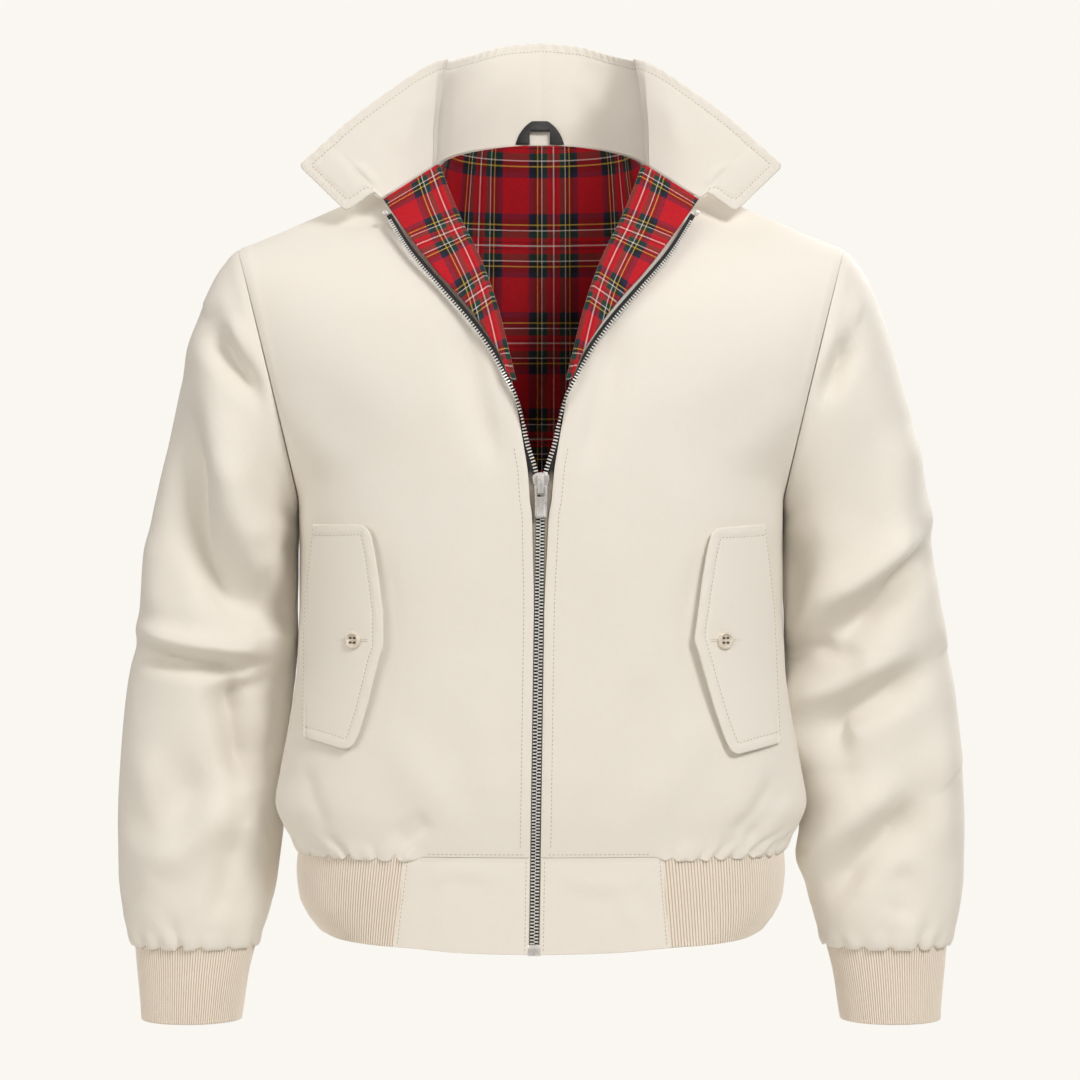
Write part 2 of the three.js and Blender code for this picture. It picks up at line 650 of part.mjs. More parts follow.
const BUTTON = { radius: 6.9, thick: 3, dish: 1, rim: 1.7, hole: 1.05, holeAt: 1.9 };
function buttonShape() {
  const profile = [
    [0, 0],
    [BUTTON.radius - 1, 0],
    [BUTTON.radius, 1],
    [BUTTON.radius, BUTTON.thick - 0.8],
    [BUTTON.radius - 0.8, BUTTON.thick],
    [BUTTON.radius - BUTTON.rim, BUTTON.thick - 0.2],
    [BUTTON.radius - BUTTON.rim - 0.9, BUTTON.thick - BUTTON.dish],
    [0, BUTTON.thick - BUTTON.dish],
  ].map(([x, y]) => new THREE.Vector2(x, y));
  let disc = asManifold(new THREE.LatheGeometry(profile, 20));
  if (disc.volume() < 0) disc = asManifold(asGeometry(disc));
  for (const [sideX, sideY] of [[1, 1], [1, -1], [-1, 1], [-1, -1]]) {
    const hole = new THREE.CylinderGeometry(BUTTON.hole, BUTTON.hole, 3 * BUTTON.thick, 8);
    hole.translate(sideX * BUTTON.holeAt, 0, sideY * BUTTON.holeAt);
    disc = disc.subtract(asManifold(hole));
  }
  return asGeometry(disc);
}

const BUTTON_PLACE = { left: [146, -399], right: [149, -399] };
for (const hand of ["left", "right"]) {
  const [x, z] = BUTTON_PLACE[hand];
  const reach = BUTTON.radius / 2;
  const across = flapPoint(x + reach, z).sub(flapPoint(x - reach, z));
  const axis = across.cross(flapPoint(x, z + reach).sub(flapPoint(x, z - reach))).normalize();
  const seat = flapPoint(x, z).addScaledVector(axis, 0.7);
  const disc = buttonShape();
  disc.applyQuaternion(new THREE.Quaternion().setFromUnitVectors(vec(0, 1, 0), axis));
  disc.translate(...seat.toArray());
  add(`button_${hand}`, swung(hand === "left" ? disc : mirrored(disc)), "button");
}

// ---- Zip ----
// chain*: the middle of one half of the chain; turn: how far its tape has turned over with the cloth, in degrees:
// 0 points away from the other half, 180 points back to it; tape: the tape's free width.
const CHAIN = { half: 1.4, thick: 2.4 };
const TAPE = 0.7;
const TAPE_START = CHAIN.half + 0.5;
const zipRow = table(["at", "chainX", "chainY", "chainZ", "turn", "tape"], [
  [0, 1.7, -110.2, -649.5, 0, 10],
  [0.1, 1.7, -110.2, -573, 0, 10],
  [0.16, 1.7, -116.6, -536, 0, 10],
  [0.22, 1.7, -118.6, -505, 0, 10],
  [0.5, 1.7, -118.8, -275, 0, 10],
  [0.53, 4.4, -118.6, -262, 0, 9],
  [0.58, 11.2, -117.4, -240, 6, 3.5],
  [0.62, 14.8, -119.5, -222, 90, 3],
  [0.66, 20.3, -119.5, -204, 125, 1.4],
  [0.7, 29.4, -118, -186, 160, 1.2],
  [0.75, 40.5, -116, -166, 178, 2.4],
  [0.8, 56, -111, -144, 180, 2.6],
  [0.87, 80.5, -98, -115, 180, 2.8],
  [0.94, 109, -77, -80, 180, 2.6],
  [1, 128.3, -58, -48, 180, 2.4],
]);

// Above the twist the chain runs beside the lapel's free edge, in the lapel's own surface.
function zipFrame(at) {
  const row = zipRow(at);
  const centre = vec(row.chainX, row.chainY, row.chainZ);
  const step = 1e-3;
  const next = zipRow(Math.min(at + step, 1));
  const last = zipRow(Math.max(at - step, 0));
  const along = vec(next.chainX - last.chainX, 0, next.chainZ - last.chainZ).normalize();
  const away = vec(along.z, 0, -along.x);
  if (row.turn > 150) {
    const surface = frontAt(row.chainX, row.chainZ).point.y;
    const lift = table(["z", "lift"], [[-190, 3.5], [-165, 4], [-119, 6], [-72, 11], [-33, 18]]);
    centre.y = mix(centre.y, surface - lift(row.chainZ).lift - CHAIN.thick / 2, ease(150, 175, row.turn));
  }
  const turn = radians(row.turn);
  const toTape = away.multiplyScalar(Math.cos(turn)).add(vec(0, Math.sin(turn), 0));
  return { centre, along, toTape, thick: along.clone().cross(toTape).normalize(), tape: row.tape };
}

// A strip from near to far (mm from the chain's middle, towards the tape), with its own thickness.
function zipStrip(places, near, far, thick) {
  const rows = places.map((at) => {
    const frame = zipFrame(at);
    return [near, far(frame)].map((reach) =>
      frame.centre.clone().addScaledVector(frame.toTape, reach).addScaledVector(frame.thick, thick / 2),
    );
  });
  const edit = (normal, i) => normal.copy(zipFrame(places[i]).thick);
  return wall(rows, thick, { edit });
}

const ZIP_AT = [0, 0.1, 0.16, 0.22, 0.36, 0.5, 0.53, 0.555, 0.58, 0.6, 0.62, 0.64, 0.66, 0.68, 0.7, 0.75, 0.8, 0.87, 0.94, 1];
addPair("zip_chain", zipStrip(ZIP_AT, -CHAIN.half, () => CHAIN.half, CHAIN.thick), "metal", swung);
addPair("zip_tape", zipStrip(ZIP_AT, TAPE_START, (frame) => TAPE_START + frame.tape, TAPE), "tape", swung);

function block(x0, x1, y0, y1, z0, z1) {
  const box = new THREE.BoxGeometry(x1 - x0, y1 - y0, z1 - z0);
  return box.translate((x0 + x1) / 2, (y0 + y1) / 2, (z0 + z1) / 2);
}

// A stop clamped over each half's top end, and the box that joins the halves at the hem.
function topStop() {
  const frame = zipFrame(1);
  const stop = block(-1.9, 1.9, -1.6, 1.6, 0, 4);
  const basis = new THREE.Matrix4().makeBasis(frame.toTape, frame.thick, frame.along);
  if (basis.determinant() < 0) basis.makeBasis(frame.toTape, frame.thick.clone().negate(), frame.along);
  return solidFrom(stop.applyMatrix4(basis).translate(...frame.centre.addScaledVector(frame.along, 0.4).toArray()));
}

function solidFrom(geometry) {
  return asGeometry(asManifold(geometry));
}
addPair("zip_top_stop", topStop(), "metal");

const BOX_SWING = swingOf(0, HEM_Z);
const retainer = solidFrom(block(-5, 5, -113.2, -108.6, HEM_Z - 0.6, HEM_Z + 1.7)).translate(BOX_SWING, 0, 0);
add("zip_box", retainer, "metal");

// The slider: two shield-shaped plates joined by a post where the halves part, with a bridge on its face.
const SLIDER = {
  topHalf: 6.6,
  footHalf: 5.2,
  top: SLIDER_Z + 4,
  foot: SLIDER_Z - 14,
  faceBack: -120.7,
  face: -122.3,
  rearFace: -116.9,
  rear: -115.5,
};
const BRIDGE = { half: 2.6, top: SLIDER_Z + 2, foot: SLIDER_Z - 12.4, gap: 2.8, thick: 1.2, leg: 1.4 };

function shieldPlate(y0, y1) {
  const shield = new THREE.Shape();
  shield.moveTo(-SLIDER.footHalf, SLIDER.foot);
  shield.lineTo(SLIDER.footHalf, SLIDER.foot);
  shield.lineTo(SLIDER.footHalf, SLIDER_Z - 6);
  shield.quadraticCurveTo(SLIDER.topHalf, SLIDER_Z - 4, SLIDER.topHalf, SLIDER_Z);
  shield.quadraticCurveTo(SLIDER.topHalf, SLIDER.top, 0, SLIDER.top);
  shield.quadraticCurveTo(-SLIDER.topHalf, SLIDER.top, -SLIDER.topHalf, SLIDER_Z);
  shield.quadraticCurveTo(-SLIDER.topHalf, SLIDER_Z - 4, -SLIDER.footHalf, SLIDER_Z - 6);
  shield.closePath();
  const plate = new THREE.ExtrudeGeometry(shield, { depth: y1 - y0, bevelEnabled: false, curveSegments: 4 });
  return plate.rotateX(Math.PI / 2).translate(0, y1, 0);
}

function sliderShape() {
  const bridgeFace = SLIDER.face - BRIDGE.gap - BRIDGE.thick;
  const pieces = [
    shieldPlate(SLIDER.face, SLIDER.faceBack),
    shieldPlate(SLIDER.rearFace, SLIDER.rear),
    block(-1.2, 1.2, SLIDER.faceBack - 0.5, SLIDER.rearFace + 0.5, SLIDER_Z + 0.5, SLIDER.top - 0.4),
    block(-BRIDGE.half, BRIDGE.half, bridgeFace, bridgeFace + BRIDGE.thick, BRIDGE.foot, BRIDGE.top),
    block(-BRIDGE.half, BRIDGE.half, bridgeFace + 0.1, SLIDER.face + 0.5, BRIDGE.top - BRIDGE.leg, BRIDGE.top),
    block(-BRIDGE.half, BRIDGE.half, bridgeFace + 0.1, SLIDER.face + 0.5, BRIDGE.foot, BRIDGE.foot + BRIDGE.leg),
  ];
  return asGeometry(pieces.map(asManifold).reduce((whole, piece) => whole.add(piece)));
}
add("zip_slider", sliderShape(), "metal");

// The pull tab hangs from a bar under the bridge and swings on it.
const TAB = { half: 4.8, length: 25.4, thick: 1.6, slotHalf: 3, slot: 7.2, bar: 1.6, panelHalf: 3.2, recess: 0.4 };
const TAB_AXIS = { y: SLIDER.face - BRIDGE.gap / 2, z: SLIDER_Z - 7.5 };

function pullTab() {
  const outline = new THREE.Shape();
  const top = TAB.bar / 2;
  const foot = top - TAB.length;
  outline.moveTo(-TAB.half + 1.6, foot);
  outline.lineTo(TAB.half - 1.6, foot);
  outline.quadraticCurveTo(TAB.half, foot, TAB.half, foot + 1.6);
  outline.lineTo(TAB.half, top - 1);
  outline.quadraticCurveTo(TAB.half, top, TAB.half - 1, top);
  outline.lineTo(-TAB.half + 1, top);
  outline.quadraticCurveTo(-TAB.half, top, -TAB.half, top - 1);
  outline.lineTo(-TAB.half, foot + 1.6);
  outline.quadraticCurveTo(-TAB.half, foot, -TAB.half + 1.6, foot);
  const slot = new THREE.Path();
  slot.moveTo(-TAB.slotHalf, -TAB.bar / 2);
  slot.lineTo(-TAB.slotHalf, -TAB.bar / 2 - TAB.slot);
  slot.lineTo(TAB.slotHalf, -TAB.bar / 2 - TAB.slot);
  slot.lineTo(TAB.slotHalf, -TAB.bar / 2);
  slot.closePath();
  outline.holes.push(slot);
  const plate = new THREE.ExtrudeGeometry(outline, { depth: TAB.thick, bevelEnabled: false, curveSegments: 3 });
  plate.rotateX(Math.PI / 2).translate(0, TAB.thick / 2, 0);
  const panelTop = -TAB.bar / 2 - TAB.slot - 1.2;
  const panel = block(-TAB.panelHalf, TAB.panelHalf, -TAB.thick, -TAB.thick / 2 + TAB.recess, foot + 1.8, panelTop);
  return asGeometry(asManifold(plate).subtract(asManifold(panel)));
}
const tab = add("zip_pull_tab", pullTab(), "metal");
tab.position.set(0, TAB_AXIS.y, TAB_AXIS.z);

export default jacket;
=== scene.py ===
"""A cream harrington jacket, filled out as if worn: turned-out collar, tartan lining, half-open zip.

Tables are in millimetres for the wearer's left side (+X) and are mirrored for the right.
"""

import json
import logging
import math
from dataclasses import dataclass, field
from enum import Enum
from typing import Callable, Sequence

import bpy
import numpy as np
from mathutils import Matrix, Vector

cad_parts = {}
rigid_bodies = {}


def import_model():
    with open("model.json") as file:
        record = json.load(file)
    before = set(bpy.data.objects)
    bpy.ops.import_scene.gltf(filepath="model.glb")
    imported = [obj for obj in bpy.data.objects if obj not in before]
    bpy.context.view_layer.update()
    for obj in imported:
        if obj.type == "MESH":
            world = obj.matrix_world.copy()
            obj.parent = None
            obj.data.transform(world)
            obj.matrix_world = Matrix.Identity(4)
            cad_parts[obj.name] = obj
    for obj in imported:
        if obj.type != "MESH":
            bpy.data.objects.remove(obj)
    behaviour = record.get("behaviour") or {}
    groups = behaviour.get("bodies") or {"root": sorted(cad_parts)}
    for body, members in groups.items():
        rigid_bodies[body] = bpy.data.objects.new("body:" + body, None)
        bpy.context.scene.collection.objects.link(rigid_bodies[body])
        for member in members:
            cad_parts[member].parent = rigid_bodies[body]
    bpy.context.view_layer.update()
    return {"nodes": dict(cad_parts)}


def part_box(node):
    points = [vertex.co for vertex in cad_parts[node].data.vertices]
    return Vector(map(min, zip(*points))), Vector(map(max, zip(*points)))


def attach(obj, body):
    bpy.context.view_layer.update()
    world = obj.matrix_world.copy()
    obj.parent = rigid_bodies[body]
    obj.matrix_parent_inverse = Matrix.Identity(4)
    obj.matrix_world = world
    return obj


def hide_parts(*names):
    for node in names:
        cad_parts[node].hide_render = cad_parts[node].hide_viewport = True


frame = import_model()

Array = np.ndarray
Piece = bpy.types.Object
Material = bpy.types.Material
Socket = bpy.types.NodeSocket
Colour = tuple[float, float, float]
Value = Socket | float | tuple[float, ...]
MM = 0.001
log = logging.getLogger("jacket")


class Hand(Enum):
    """The wearer's two sides; the value is the sign of X."""

    LEFT = 1
    RIGHT = -1

    @property
    def word(self) -> str:
        """The side's name as the nodes spell it."""
        return self.name.lower()


# ---------------------------------------------------------------- shaping maths


def ease(low: float, high: float, value: Array | float) -> Array:
    """A smooth step.

    Args:
        low: Where it is 0.
        high: Where it is 1.
        value: The place to read.

    Returns:
        The step's height, from 0 to 1.
    """
    t = np.clip((np.asarray(value, float) - low) / (high - low), 0, 1)
    return t * t * (3 - 2 * t)


def mix(a: Array | float, b: Array | float, t: Array | float) -> Array:
    """Returns the value a share t of the way from a to b."""
    return a + (b - a) * t


def points_of(x: Array | float, y: Array | float, z: Array | float) -> Array:
    """Returns x, y and z joined along a last axis of three."""
    return np.stack(np.broadcast_arrays(x, y, z), -1).astype(float)


def unit(vectors: Array) -> Array:
    """Returns vectors of length one."""
    return vectors / np.maximum(np.linalg.norm(vectors, axis=-1, keepdims=True), 1e-9)


def bezier(p0: Array, p1: Array, p2: Array, p3: Array, t: Array) -> Array:
    """Returns the point at t on the curve that leaves p0 towards p1 and reaches p3 from p2."""
    t = np.asarray(t, float)[..., None]
    s = 1 - t
    return p0 * s**3 + 3 * p1 * s * s * t + 3 * p2 * s * t * t + p3 * t**3


def bump(distance: Array, width: float | Array) -> Array:
    """Returns a soft hump of height one, this wide on each side."""
    return np.exp(-((distance / width) ** 2))


class Table:
    """Rows of sizes, read smoothly by their first column and never overshooting."""

    def __init__(self, *rows: Sequence[float]) -> None:
        """Stores the rows; the first number of each is its place."""
        cells = np.array(rows, float)
        self.places, self.values = cells[:, 0], cells[:, 1:]
        steps = np.diff(self.values, axis=0) / np.diff(self.places)[:, None]
        before, after = steps[:-1], steps[1:]
        total = np.where(np.abs(before + after) < 1e-12, 1, before + after)
        inner = np.where(before * after <= 0, 0, 2 * before * after / total)
        self.slopes = np.vstack([steps[:1], inner, steps[-1:]])

    def read(self, place: Array | float) -> tuple[Array, ...]:
        """Returns each column's value at a place, or at many."""
        place = np.asarray(place, float)
        i = np.clip(np.searchsorted(self.places, place, side="left") - 1, 0, len(self.places) - 2)
        width = (self.places[i + 1] - self.places[i])[..., None]
        t = np.clip((place - self.places[i])[..., None] / width, 0, 1)
        s = 1 - t
        value = (
            (1 + 2 * t) * s * s * self.values[i]
            + t * t * (3 - 2 * t) * self.values[i + 1]
            + (t * s * s * self.slopes[i] - t * t * s * self.slopes[i + 1]) * width
        )
        return tuple(np.moveaxis(value, -1, 0))


def table(*rows: Sequence[float]) -> Table:
    """Returns a dataclass field that starts as a table of these rows."""
    return field(default_factory=lambda: Table(*rows))


def smooth_path(corners: Sequence[Sequence[float]], count: int = 26) -> Array:
    """A smooth line through a few given points.

    Args:
        corners: The points, two or three numbers each.
        count: How many points to return.

    Returns:
        Points along the line, evenly shared between the corners.
    """
    knots = np.array(corners, float)
    padded = np.vstack([2 * knots[0] - knots[1], knots, 2 * knots[-1] - knots[-2]])
    place = np.linspace(0, len(knots) - 1, count)
    i = np.minimum(place.astype(int), len(knots) - 2)
    t = (place - i)[:, None]
    a, b, c, d = padded[i], padded[i + 1], padded[i + 2], padded[i + 3]
    return 0.5 * (2 * b + (c - a) * t + (2 * a - 5 * b + 4 * c - d) * t**2 + (3 * b - a - 3 * c + d) * t**3)


def even_places(line: Array, spacing: float) -> Array:
    """Returns evenly spaced distances along a line of points, and the distance of each of its points."""
    steps = np.linalg.norm(np.diff(line, axis=0), axis=1)
    along = np.concatenate([[0], np.cumsum(steps)])
    count = max(int(along[-1] / spacing), 2)
    wanted = (np.arange(count) + 0.5) * along[-1] / count
    return wanted, along


def read_along(places: Array, along: Array, values: Array) -> Array:
    """Returns rows of three values, read at places along a line."""
    return np.stack([np.interp(places, along, values[:, k]) for k in range(3)], -1)


# ---------------------------------------------------------------- creases and gathers


@dataclass(frozen=True)
class Crease:
    """A soft fold placed on a panel, in the panel's own x and z.

    Attributes:
        path: Its line, as (x, z) points.
        lift: Height of the ridge, or depth of the trough if below zero.
        width: Half width.
        lean: Share of the lift that sinks again on the line's right-hand side.
    """

    path: tuple[tuple[float, float], ...]
    lift: float
    width: float
    lean: float = 0.5

    def raise_by(self, x: Array, z: Array) -> Array:
        """Returns how far each point moves outwards."""
        line = smooth_path(self.path)
        start, step = line[:-1], np.diff(line, axis=0)
        offset = np.stack([x.ravel(), z.ravel()], -1)[:, None, :] - start[None]
        share = np.clip((offset * step).sum(-1) / (step**2).sum(-1), 0, 1)
        away = offset - share[..., None] * step
        distance = np.linalg.norm(away, axis=-1)
        nearest = distance.argmin(1)
        rows = np.arange(len(nearest))
        side = np.sign(step[nearest, 0] * away[rows, nearest, 1] - step[nearest, 1] * away[rows, nearest,
                                                                                           0])
        signed = distance[rows, nearest] * side
        along = (nearest + share[rows, nearest]) / len(step)
        taper = ease(0, 0.3, along) * ease(1, 0.68, along) * 0.85 + 0.15
        height = bump(signed, self.width) - self.lean * bump(signed + 1.7 * self.width, 1.2 * self.width)
        return (self.lift * taper * height).reshape(x.shape)


def folded(x: Array, z: Array, creases: Sequence[Crease]) -> Array:
    """Returns the sum of the creases' lifts at each point."""
    total = np.zeros(np.shape(x))
    for crease in creases:
        total += crease.raise_by(x, z)
    return total


@dataclass(frozen=True)
class Gather:
    """One tuck where a panel is drawn in along a seam.

    Attributes:
        at: Its place along the seam.
        lift: Depth of the tuck.
        width: Half width at the seam.
        height: How far it runs into the panel.
        slant: How far it leans sideways for each mm that it runs.
    """

    at: float
    lift: float
    width: float
    height: float
    slant: float = 0.0


def gathered(along: Array, away: Array, tucks: Sequence[Gather]) -> Array:
    """How far a gathered panel moves in or out.

    Args:
        along: Place along the seam.
        away: Distance from the seam.
        tucks: The tucks.

    Returns:
        Offsets, below zero in a tuck and above between tucks.
    """
    total = np.zeros(np.shape(along))
    for tuck in tucks:
        width = tuck.width * (1 + 1.4 * away / tuck.height)
        offset = along - tuck.at - tuck.slant * away
        shape = bump(offset, width) - 0.45 * bump(np.abs(offset) - 2 * width, 1.1 * width)
        total -= tuck.lift * shape * bump(away, tuck.height)
    return total


def notched(along: Array, tucks: Sequence[Gather]) -> Array:
    """Returns how far a gathered edge is drawn up at each place, from 0 between tucks to nearly 1 in one."""
    drawn = np.zeros(np.shape(along))
    for tuck in tucks:
        drawn = np.maximum(drawn, min(0.3 * tuck.lift, 0.95) * bump(along - tuck.at, 1.25 * tuck.width))
    return drawn


# ---------------------------------------------------------------- the cut


@dataclass
class Cut:
    """Where every panel of the jacket lies, in mm; the part's own tables."""

    arm_start: float = 0.62
    yoke_start: float = 0.84
    neck_share: float = 0.36
    neck_x: float = 88
    neck_back: float = 85
    neck_rise: float = 30
    shoulder_x: float = 258
    shoulder_z: float = -72
    underarm_x: float = 205
    underarm_z: float = -290
    armhole_half: float = 72
    scoop_front: float = 7
    scoop_back: float = 4
    side_y: float = 8
    seam_gap: float = 0.4
    waist_z: float = -573
    hem_z: float = -651.6
    slider_z: float = -268
    zip_swing: float = 4.48
    swing_reach: float = 170
    lapel: float = 2.4
    flap: float = 2.2
    side_seam: Table = table(
        (0, 203, -573), (0.04, 211, -556), (0.09, 216.5, -536), (0.16, 214.5, -508), (0.25, 210, -470),
        (0.36, 205.5, -420), (0.5, 205, -350), (0.62, 205, -290))
    armhole_angle: Table = table(
        (0.62, -90), (0.7, -60), (0.77, -30), (0.84, 0), (0.9, 30), (0.95, 60), (0.98, 76), (1, 90))
    # inner edge x, y, z; straight run at each end; heading at the side
    front_row: Table = table(
        (0, 7.8, -113, -573, 136, 98, 94), (0.04, 7.8, -116, -556, 142, 102, 103),
        (0.09, 7.8, -119, -536, 145, 104, 106), (0.16, 7.8, -121, -505, 144, 102, 102),
        (0.25, 7.8, -121, -465, 141, 100, 97), (0.36, 7.8, -121, -410, 139, 98, 92),
        (0.5, 7.8, -121, -345, 137, 96, 90), (0.62, 7.8, -121, -282, 134, 92, 90),
        (0.66, 8.6, -121, -264, 128, 78, 78), (0.7, 12.6, -120, -249, 118, 64, 65),
        (0.77, 18.6, -116, -214, 98, 50, 48), (0.84, 25, -108, -181, 86, 48, 38),
        (0.9, 36, -94, -136, 72, 50, 28), (0.95, 53, -61, -84, 62, 52, 18),
        (0.98, 71, -28, -42, 58, 55, 8), (1, 88, 0, 0, 57, 57, 0))
    back_row: Table = table(
        (0, 110, -573, 122, 80, 92), (0.04, 117, -556, 128, 82, 98), (0.09, 122, -536, 130, 84, 100),
        (0.16, 125, -505, 128, 82, 97), (0.25, 126, -465, 124, 80, 94), (0.36, 127, -410, 122, 78, 90),
        (0.5, 128, -345, 120, 76, 90), (0.62, 129, -286, 116, 72, 90), (0.7, 129, -250, 110, 56, 72),
        (0.77, 128, -212, 104, 48, 56), (0.84, 125, -165, 100, 48, 44))
    # outer x, z; inner x, z; middle y; half depth
    sleeve_ring: Table = table(
        (0, 258, -72, 205, -290, 8, 72), (0.08, 275, -93, 206.3, -293, 8, 72),
        (0.2, 298, -155, 206.8, -298, 8, 70), (0.32, 317, -232, 207, -308, 9, 66),
        (0.44, 330, -300, 207.3, -340, 10, 63), (0.54, 339, -368, 208, -388, 11, 61),
        (0.62, 345, -407, 209.5, -420, 12, 60), (0.7, 352, -446, 213.5, -458, 12, 58),
        (0.78, 357, -500, 218.5, -508, 12, 55), (0.86, 360, -560, 220.5, -562, 12, 52),
        (0.91, 359.5, -600, 224, -602, 11, 49), (0.95, 356, -630, 230.5, -631, 10, 46),
        (0.98, 351, -650, 237.5, -650, 10, 42), (1, 346, -657.6, 241.5, -657.6, 10, 37))
    cuff_ring: Table = table(
        (0, -658.2, 293.6, 51.5, 36), (0.45, -687, 295.4, 46.8, 34), (1, -725, 297.2, 42.4, 32))
    band_profile: Table = table((0, 0), (0.3, 2), (0.6, 0.5), (0.82, -6),
                                                              (1, -16))
    hem_rise: Table = table(
        (0, 0), (60, 1.5), (110, 5), (165, 6.5), (186, 9), (210, 11))
    # roll line x, z; free edge x, z; how far the free edge stands off
    lapel_row: Table = table(
        (0, 22.5, -190, 25.5, -188, 3.5), (0.16, 29, -163, 35, -165, 4), (0.3, 37, -131, 50, -141, 5),
        (0.45, 46, -103, 67, -119, 6), (0.6, 56, -78, 86, -97, 8), (0.75, 67, -55, 105, -72, 11),
        (0.88, 77.5, -30, 119, -52, 15), (1, 88, -1, 132, -33, 20))
    collar_column: Table = table(
        (0, 0, 86, 31, 0, 108, 124), (0.12, 31, 80.5, 29, 31, 104, 120.5), (0.25, 59, 64, 23, 57, 86, 110),
        (0.36, 79, 38.5, 14.5, 74, 52, 99), (0.44, 87.5, 10, 5.5, 79, 14, 91),
        (0.475, 87.5, -2, 2, 78, -4, 89), (0.5, 91, -8, -1, 86, -9, 86.5),
        (0.58, 98, -15, -9, 104, -11, 77),
        (0.68, 110, -22, -18, 130, -13, 59), (0.78, 121, -28, -26, 158, -15, 38),
        (0.86, 132.6, -33, -32, 181, -16.5, 17.5), (0.9, 139, -33, -28, 187.5, -17, 11.5),
        (0.95, 150, -32, -35, 196, -17, 4), (1, 163, -30, -43.5, 204, -17, -3))
    flap_rows: dict[Hand, Table] = field(default_factory=lambda: {
        Hand.LEFT: Table((0, 180.3, -305, 138.5, -308.6), (0.07, 182, -318, 134.8, -315),
                         (0.45, 188, -368.4, 123.1, -387.5), (0.5, 188.8, -377, 122, -397),
                         (0.55, 189.2, -386.3, 124.7, -407.1), (0.93, 192.6, -472, 149.3, -484),
                         (1, 193, -484, 154.5, -491.5)),
        Hand.RIGHT: Table((0, 183.9, -305, 139.5, -306), (0.07, 185, -318, 134.5, -315),
                          (0.38, 190.3, -362.3, 125.9, -369), (0.43, 191, -371, 124.8, -378),
                          (0.56, 192, -400, 124.7, -402), (0.61, 192, -409, 127.6, -412),
                          (0.94, 192, -470, 147.5, -480), (1, 191.3, -479.5, 153.5, -487.7))})
    # middle of one half of the chain x, y, z; turn of its tape in degrees; tape width
    zip_row: Table = table(
        (0, 1.7, -110.2, -649.5, 0, 10), (0.1, 1.7, -110.2, -573, 0, 10), (0.16, 1.7, -116.6, -536, 0, 10),
        (0.22, 1.7, -118.6, -505, 0, 10), (0.5, 1.7, -118.8, -275, 0, 10), (0.53, 4.4, -118.6, -262, 0, 9),
        (0.58, 11.2, -117.4, -240, 6, 3.5), (0.62, 14.8, -119.5, -222, 90, 3),
        (0.66, 20.3, -119.5, -204, 125, 1.4),
        (0.7, 29.4, -118, -186, 160, 1.2), (0.75, 40.5, -116, -166, 178, 2.4),
        (0.8, 56, -111, -144, 180, 2.6),
        (0.87, 80.5, -98, -115, 180, 2.8), (0.94, 109, -77, -80, 180, 2.6), (1, 128.3, -58, -48, 180, 2.4))
    zip_lift: Table = table(
        (-190, 3.5), (-165, 4), (-119, 6), (-72, 11), (-33, 18))

    def swing(self, points: Array) -> Array:
        """Returns points of the front moved sideways as the zip swings towards the hem."""
        x, y, z = np.moveaxis(points, -1, 0)
        down = np.clip((self.slider_z - z) / 305, 0, 1.25)
        shift = -self.zip_swing * down * (1 - ease(0, self.swing_reach, np.abs(x)))
        return points_of(np.where(y < 0, x + shift, x), y, z)

    def armhole(self, angle: Array, side: int) -> Array:
        """Returns the armhole at an angle in degrees; side is -1 for its front half and 1 for its back."""
        sine, cosine = np.sin(np.radians(angle)), np.cos(np.radians(angle))
        scoop = self.scoop_front if side < 0 else self.scoop_back
        return points_of(
            mix(self.underarm_x, self.shoulder_x, (1 + sine) / 2) - scoop * cosine,
            self.side_y + side * self.armhole_half * cosine,
            mix(self.underarm_z, self.shoulder_z, (1 + sine) / 2),
        )

    def outer_edge(self, v: Array, side: int) -> Array:
        """Returns a body panel's outer edge: the side seam, then its half of the armhole."""
        seam_x, seam_z = self.side_seam.read(v)
        seam = points_of(seam_x, self.side_y, seam_z)
        (angle,) = self.armhole_angle.read(v)
        edge = np.where((v <= self.arm_start)[..., None], seam, self.armhole(angle, side))
        return edge + np.array([0, side * self.seam_gap / 2, 0])

    def front(self, u: Array, v: Array) -> Array:
        """Returns the left front: u from its zip edge to its side, v from the waist to the shoulder."""
        u, v = np.broadcast_arrays(np.asarray(u, float), np.clip(v, 0, 1))
        x, y, z, flat, turn, heading = self.front_row.read(v)
        outer = self.outer_edge(v, -1)
        inner = points_of(x, y - self.seam_gap / 2, z)
        way = np.radians(heading)
        first = points_of(x + flat, inner[..., 1], mix(z, outer[..., 2], 1 / 3))
        second = points_of(outer[..., 0] - turn * np.cos(way), outer[..., 1] - turn * np.sin(way),
                           mix(z, outer[..., 2], 2 / 3))
        return bezier(inner, first, second, outer, u)

    def over_tape(self, points: Array) -> Array:
        """Returns points of the left half with the zip's edge drawn in over its tape, below the slider."""
        drawn = 1.6 * ease(-284, -300, points[..., 2]) + 2.0 * ease(-300, -380, points[..., 2])
        near = 1 - ease(0, 26, points[..., 0] - 7.8)
        return points - np.array([1, 0, 0]) * (drawn * near)[..., None]

    def _back_curve(self, u: Array, v: Array) -> Array:
        """Returns the back below its yoke."""
        y, z, flat, turn, heading = self.back_row.read(v)
        outer = self.outer_edge(v, 1)
        way = np.radians(heading)
        middle = points_of(0, y, z)
        first = points_of(flat, y, mix(z, outer[..., 2], 1 / 3))
        second = points_of(outer[..., 0] - turn * np.cos(way), outer[..., 1] + turn * np.sin(way),
                           mix(z, outer[..., 2], 2 / 3))
        return bezier(middle, first, second, outer, u)

